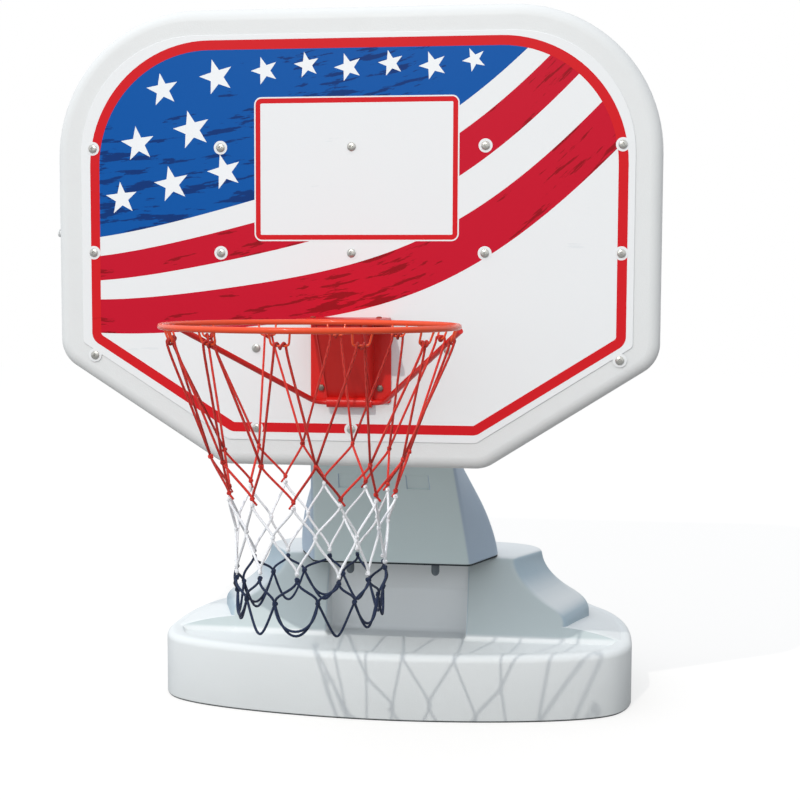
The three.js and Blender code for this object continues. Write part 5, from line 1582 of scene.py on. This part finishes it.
def cap_part(radius, share, grip_height, skirt, place, axis):
    """Cap along +Z from its seat, then laid over: the flange's edge is R (1 - d (1 + cos n a) / 2).
    The share scales the details of the larger cap."""
    plug, edge, flange = radius * PLUG_SHARE, radius * CAP_EDGE_SHARE, CAP_FLANGE * share
    thread = [(plug * (1 - THREAD_DEPTH + THREAD_DEPTH * (i % 2)), -skirt * (1 - i / 9) + 0.0006)
              for i in range(1, 9)]
    profile = [(0, -skirt), (plug * 0.93, -skirt), *thread, (plug, 0), (radius, 0), (radius, edge),
               (radius, flange - edge), (radius - edge, flange), (radius * CAP_DISH_RADIUS, flange),
               (radius * (CAP_DISH_RADIUS - 0.04), flange * CAP_DISH), (0, flange * CAP_DISH)]
    body = turned(profile, 144)
    x, y, _ = body.points.T
    rib = (np.hypot(x, y) > radius * 0.99) * RIB_DEPTH * (1 + np.cos(RIBS * np.arctan2(y, x))) / 2
    body = body._replace(points=body.points * np.stack([1 - rib, 1 - rib, 0 * rib + 1], axis=1))
    sine, cosine = quarter(5)
    half, thick = CAP_GRIP_HALF * share, CAP_GRIP_THICK * share
    soft = thick * 0.3
    levels = [(flange * 0.7, 0)]
    levels += [(grip_height - soft * (1 - s), soft * (1 - c)) for s, c in zip(sine, cosine)]
    levels += [(grip_height, soft + HOLD / 4)]
    outline = rectangle(-half, half, -thick / 2, thick / 2)
    grip = [np.c_[rounded_outline(outline, [thick * 0.45] * 4, inset, 7), np.full(28, z)]
            for z, inset in levels]
    whole = together([body, ring_stack(grip)])
    return whole._replace(points=laid_over(whole.points, axis, place))


def ring_part(inner, outer, thick, place, axis):
    """Flat ring with broken edges."""
    soft = thick * 0.3
    profile = [(inner, soft), (inner + soft, 0), (outer - soft, 0), (outer, soft), (outer, thick - soft),
               (outer - soft, thick), (inner + soft, thick), (inner, thick - soft), (inner, soft)]
    return turned(profile, 72, place, axis)


def half_width(node):
    """Half of a CAD node's size along X."""
    low, high = box_of(node)
    return (high[0] - low[0]) / 2


for cap, seal, gasket, axis in (("fill_cap", "fill_seal", "fill_gasket", "Z"),
                                ("drain_plug", "drain_seal", "drain_gasket", "Y")):
    way = "XYZ".index(axis)
    (low, high), (seal_low, seal_high) = box_of(cap), box_of(gasket)
    place, radius, seat = middle_of(cap), half_width(cap), seal_high[way] + TOUCH_GAP
    place[way] = seat
    make(f"{cap}_body", cap_part(radius, radius / half_width("fill_cap"), high[way] - seat,
                                 seat - low[way], place, axis),
         dark_look, body=cap, replaces=[cap])
    place[way] = seal_low[way]
    make(f"{seal}_ring", ring_part(radius * (PLUG_SHARE + SEAL_MARGIN), half_width(gasket),
                                   seal_high[way] - seal_low[way], place, axis),
         rubber_look, body=seal, replaces=[gasket])

low, high = box_of("vent_plug")
radius, reach = (high[1] - low[1]) / 2, -low[0]
# Radius as a share of the head's, and how far the profile lies inside the head's outer face
VENT_HEAD = [(0.7, 0.0032), (1, 0.0030), (1, 0.0016), (0.9, 0.0004), (0.6, 0), (0.3, 0.0002), (0, 0.0008)]
profile = [(0, -high[0]), (radius * 0.7, -high[0])]
profile += [(radius * share, reach - depth) for share, depth in VENT_HEAD]
_, y, z = middle_of("vent_plug")
make("vent", turned(profile, 40, (0, y, z), "-X"), shell_look, replaces=["vent_plug"])

low, high = box_of("back_plate")
make("spreader", plate(rectangle(low[0], high[0], low[2], high[2]), low[1], high[1], "Y", radius=0.008),
     steel_look, replaces=["back_plate"])

dress(nodes["ballast_sand"], sand_look)

# %% [markdown]
# ## What the lamp leaves clean
# In the photograph the board and the floor are clean, and only thin cords draw lines on the tank.
# So the lamp is there twice, in one place and at one strength. The first lights all but the board
# and the floor, and neither the rim nor its brace stands in its way. The second lights the board
# and the floor, and the net doesn't stand in its way either.

# %% What the lamp leaves clean
CLEAN_PIECES = ("shell", "panel", "print_", "screw_", "vent", "studio_floor")
RIM_PIECES = ("rim", "brace")
NET_PIECES = ("net_",)


def lamp_group(name, starts, state):
    """Collection that only a lamp reads: it takes in or leaves out the objects named so."""
    members = bpy.data.collections.new(name)
    for obj in scene.objects:
        if obj.name.startswith(starts):
            members.objects.link(obj)
    for member in members.collection_objects:
        member.light_linking.link_state = state
    return members


clean_lamp = place_lamp("clean_lamp")
lamp.light_linking.receiver_collection = lamp_group("not_by_lamp", CLEAN_PIECES, "EXCLUDE")
lamp.light_linking.blocker_collection = lamp_group("clear_of_lamp", RIM_PIECES, "EXCLUDE")
clean_lamp.light_linking.receiver_collection = lamp_group("by_clean_lamp", CLEAN_PIECES, "INCLUDE")
clean_lamp.light_linking.blocker_collection = lamp_group("clear_of_clean_lamp",
                                                         RIM_PIECES + NET_PIECES, "EXCLUDE")
print("stage: lamps told what they light")

# %% [markdown]
# ## Size
# The box round all the finished pieces is printed.

# %% Size
low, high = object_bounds()
print("box of the finished pieces:", [round(float(v), 4) for v in (*low, *high)])
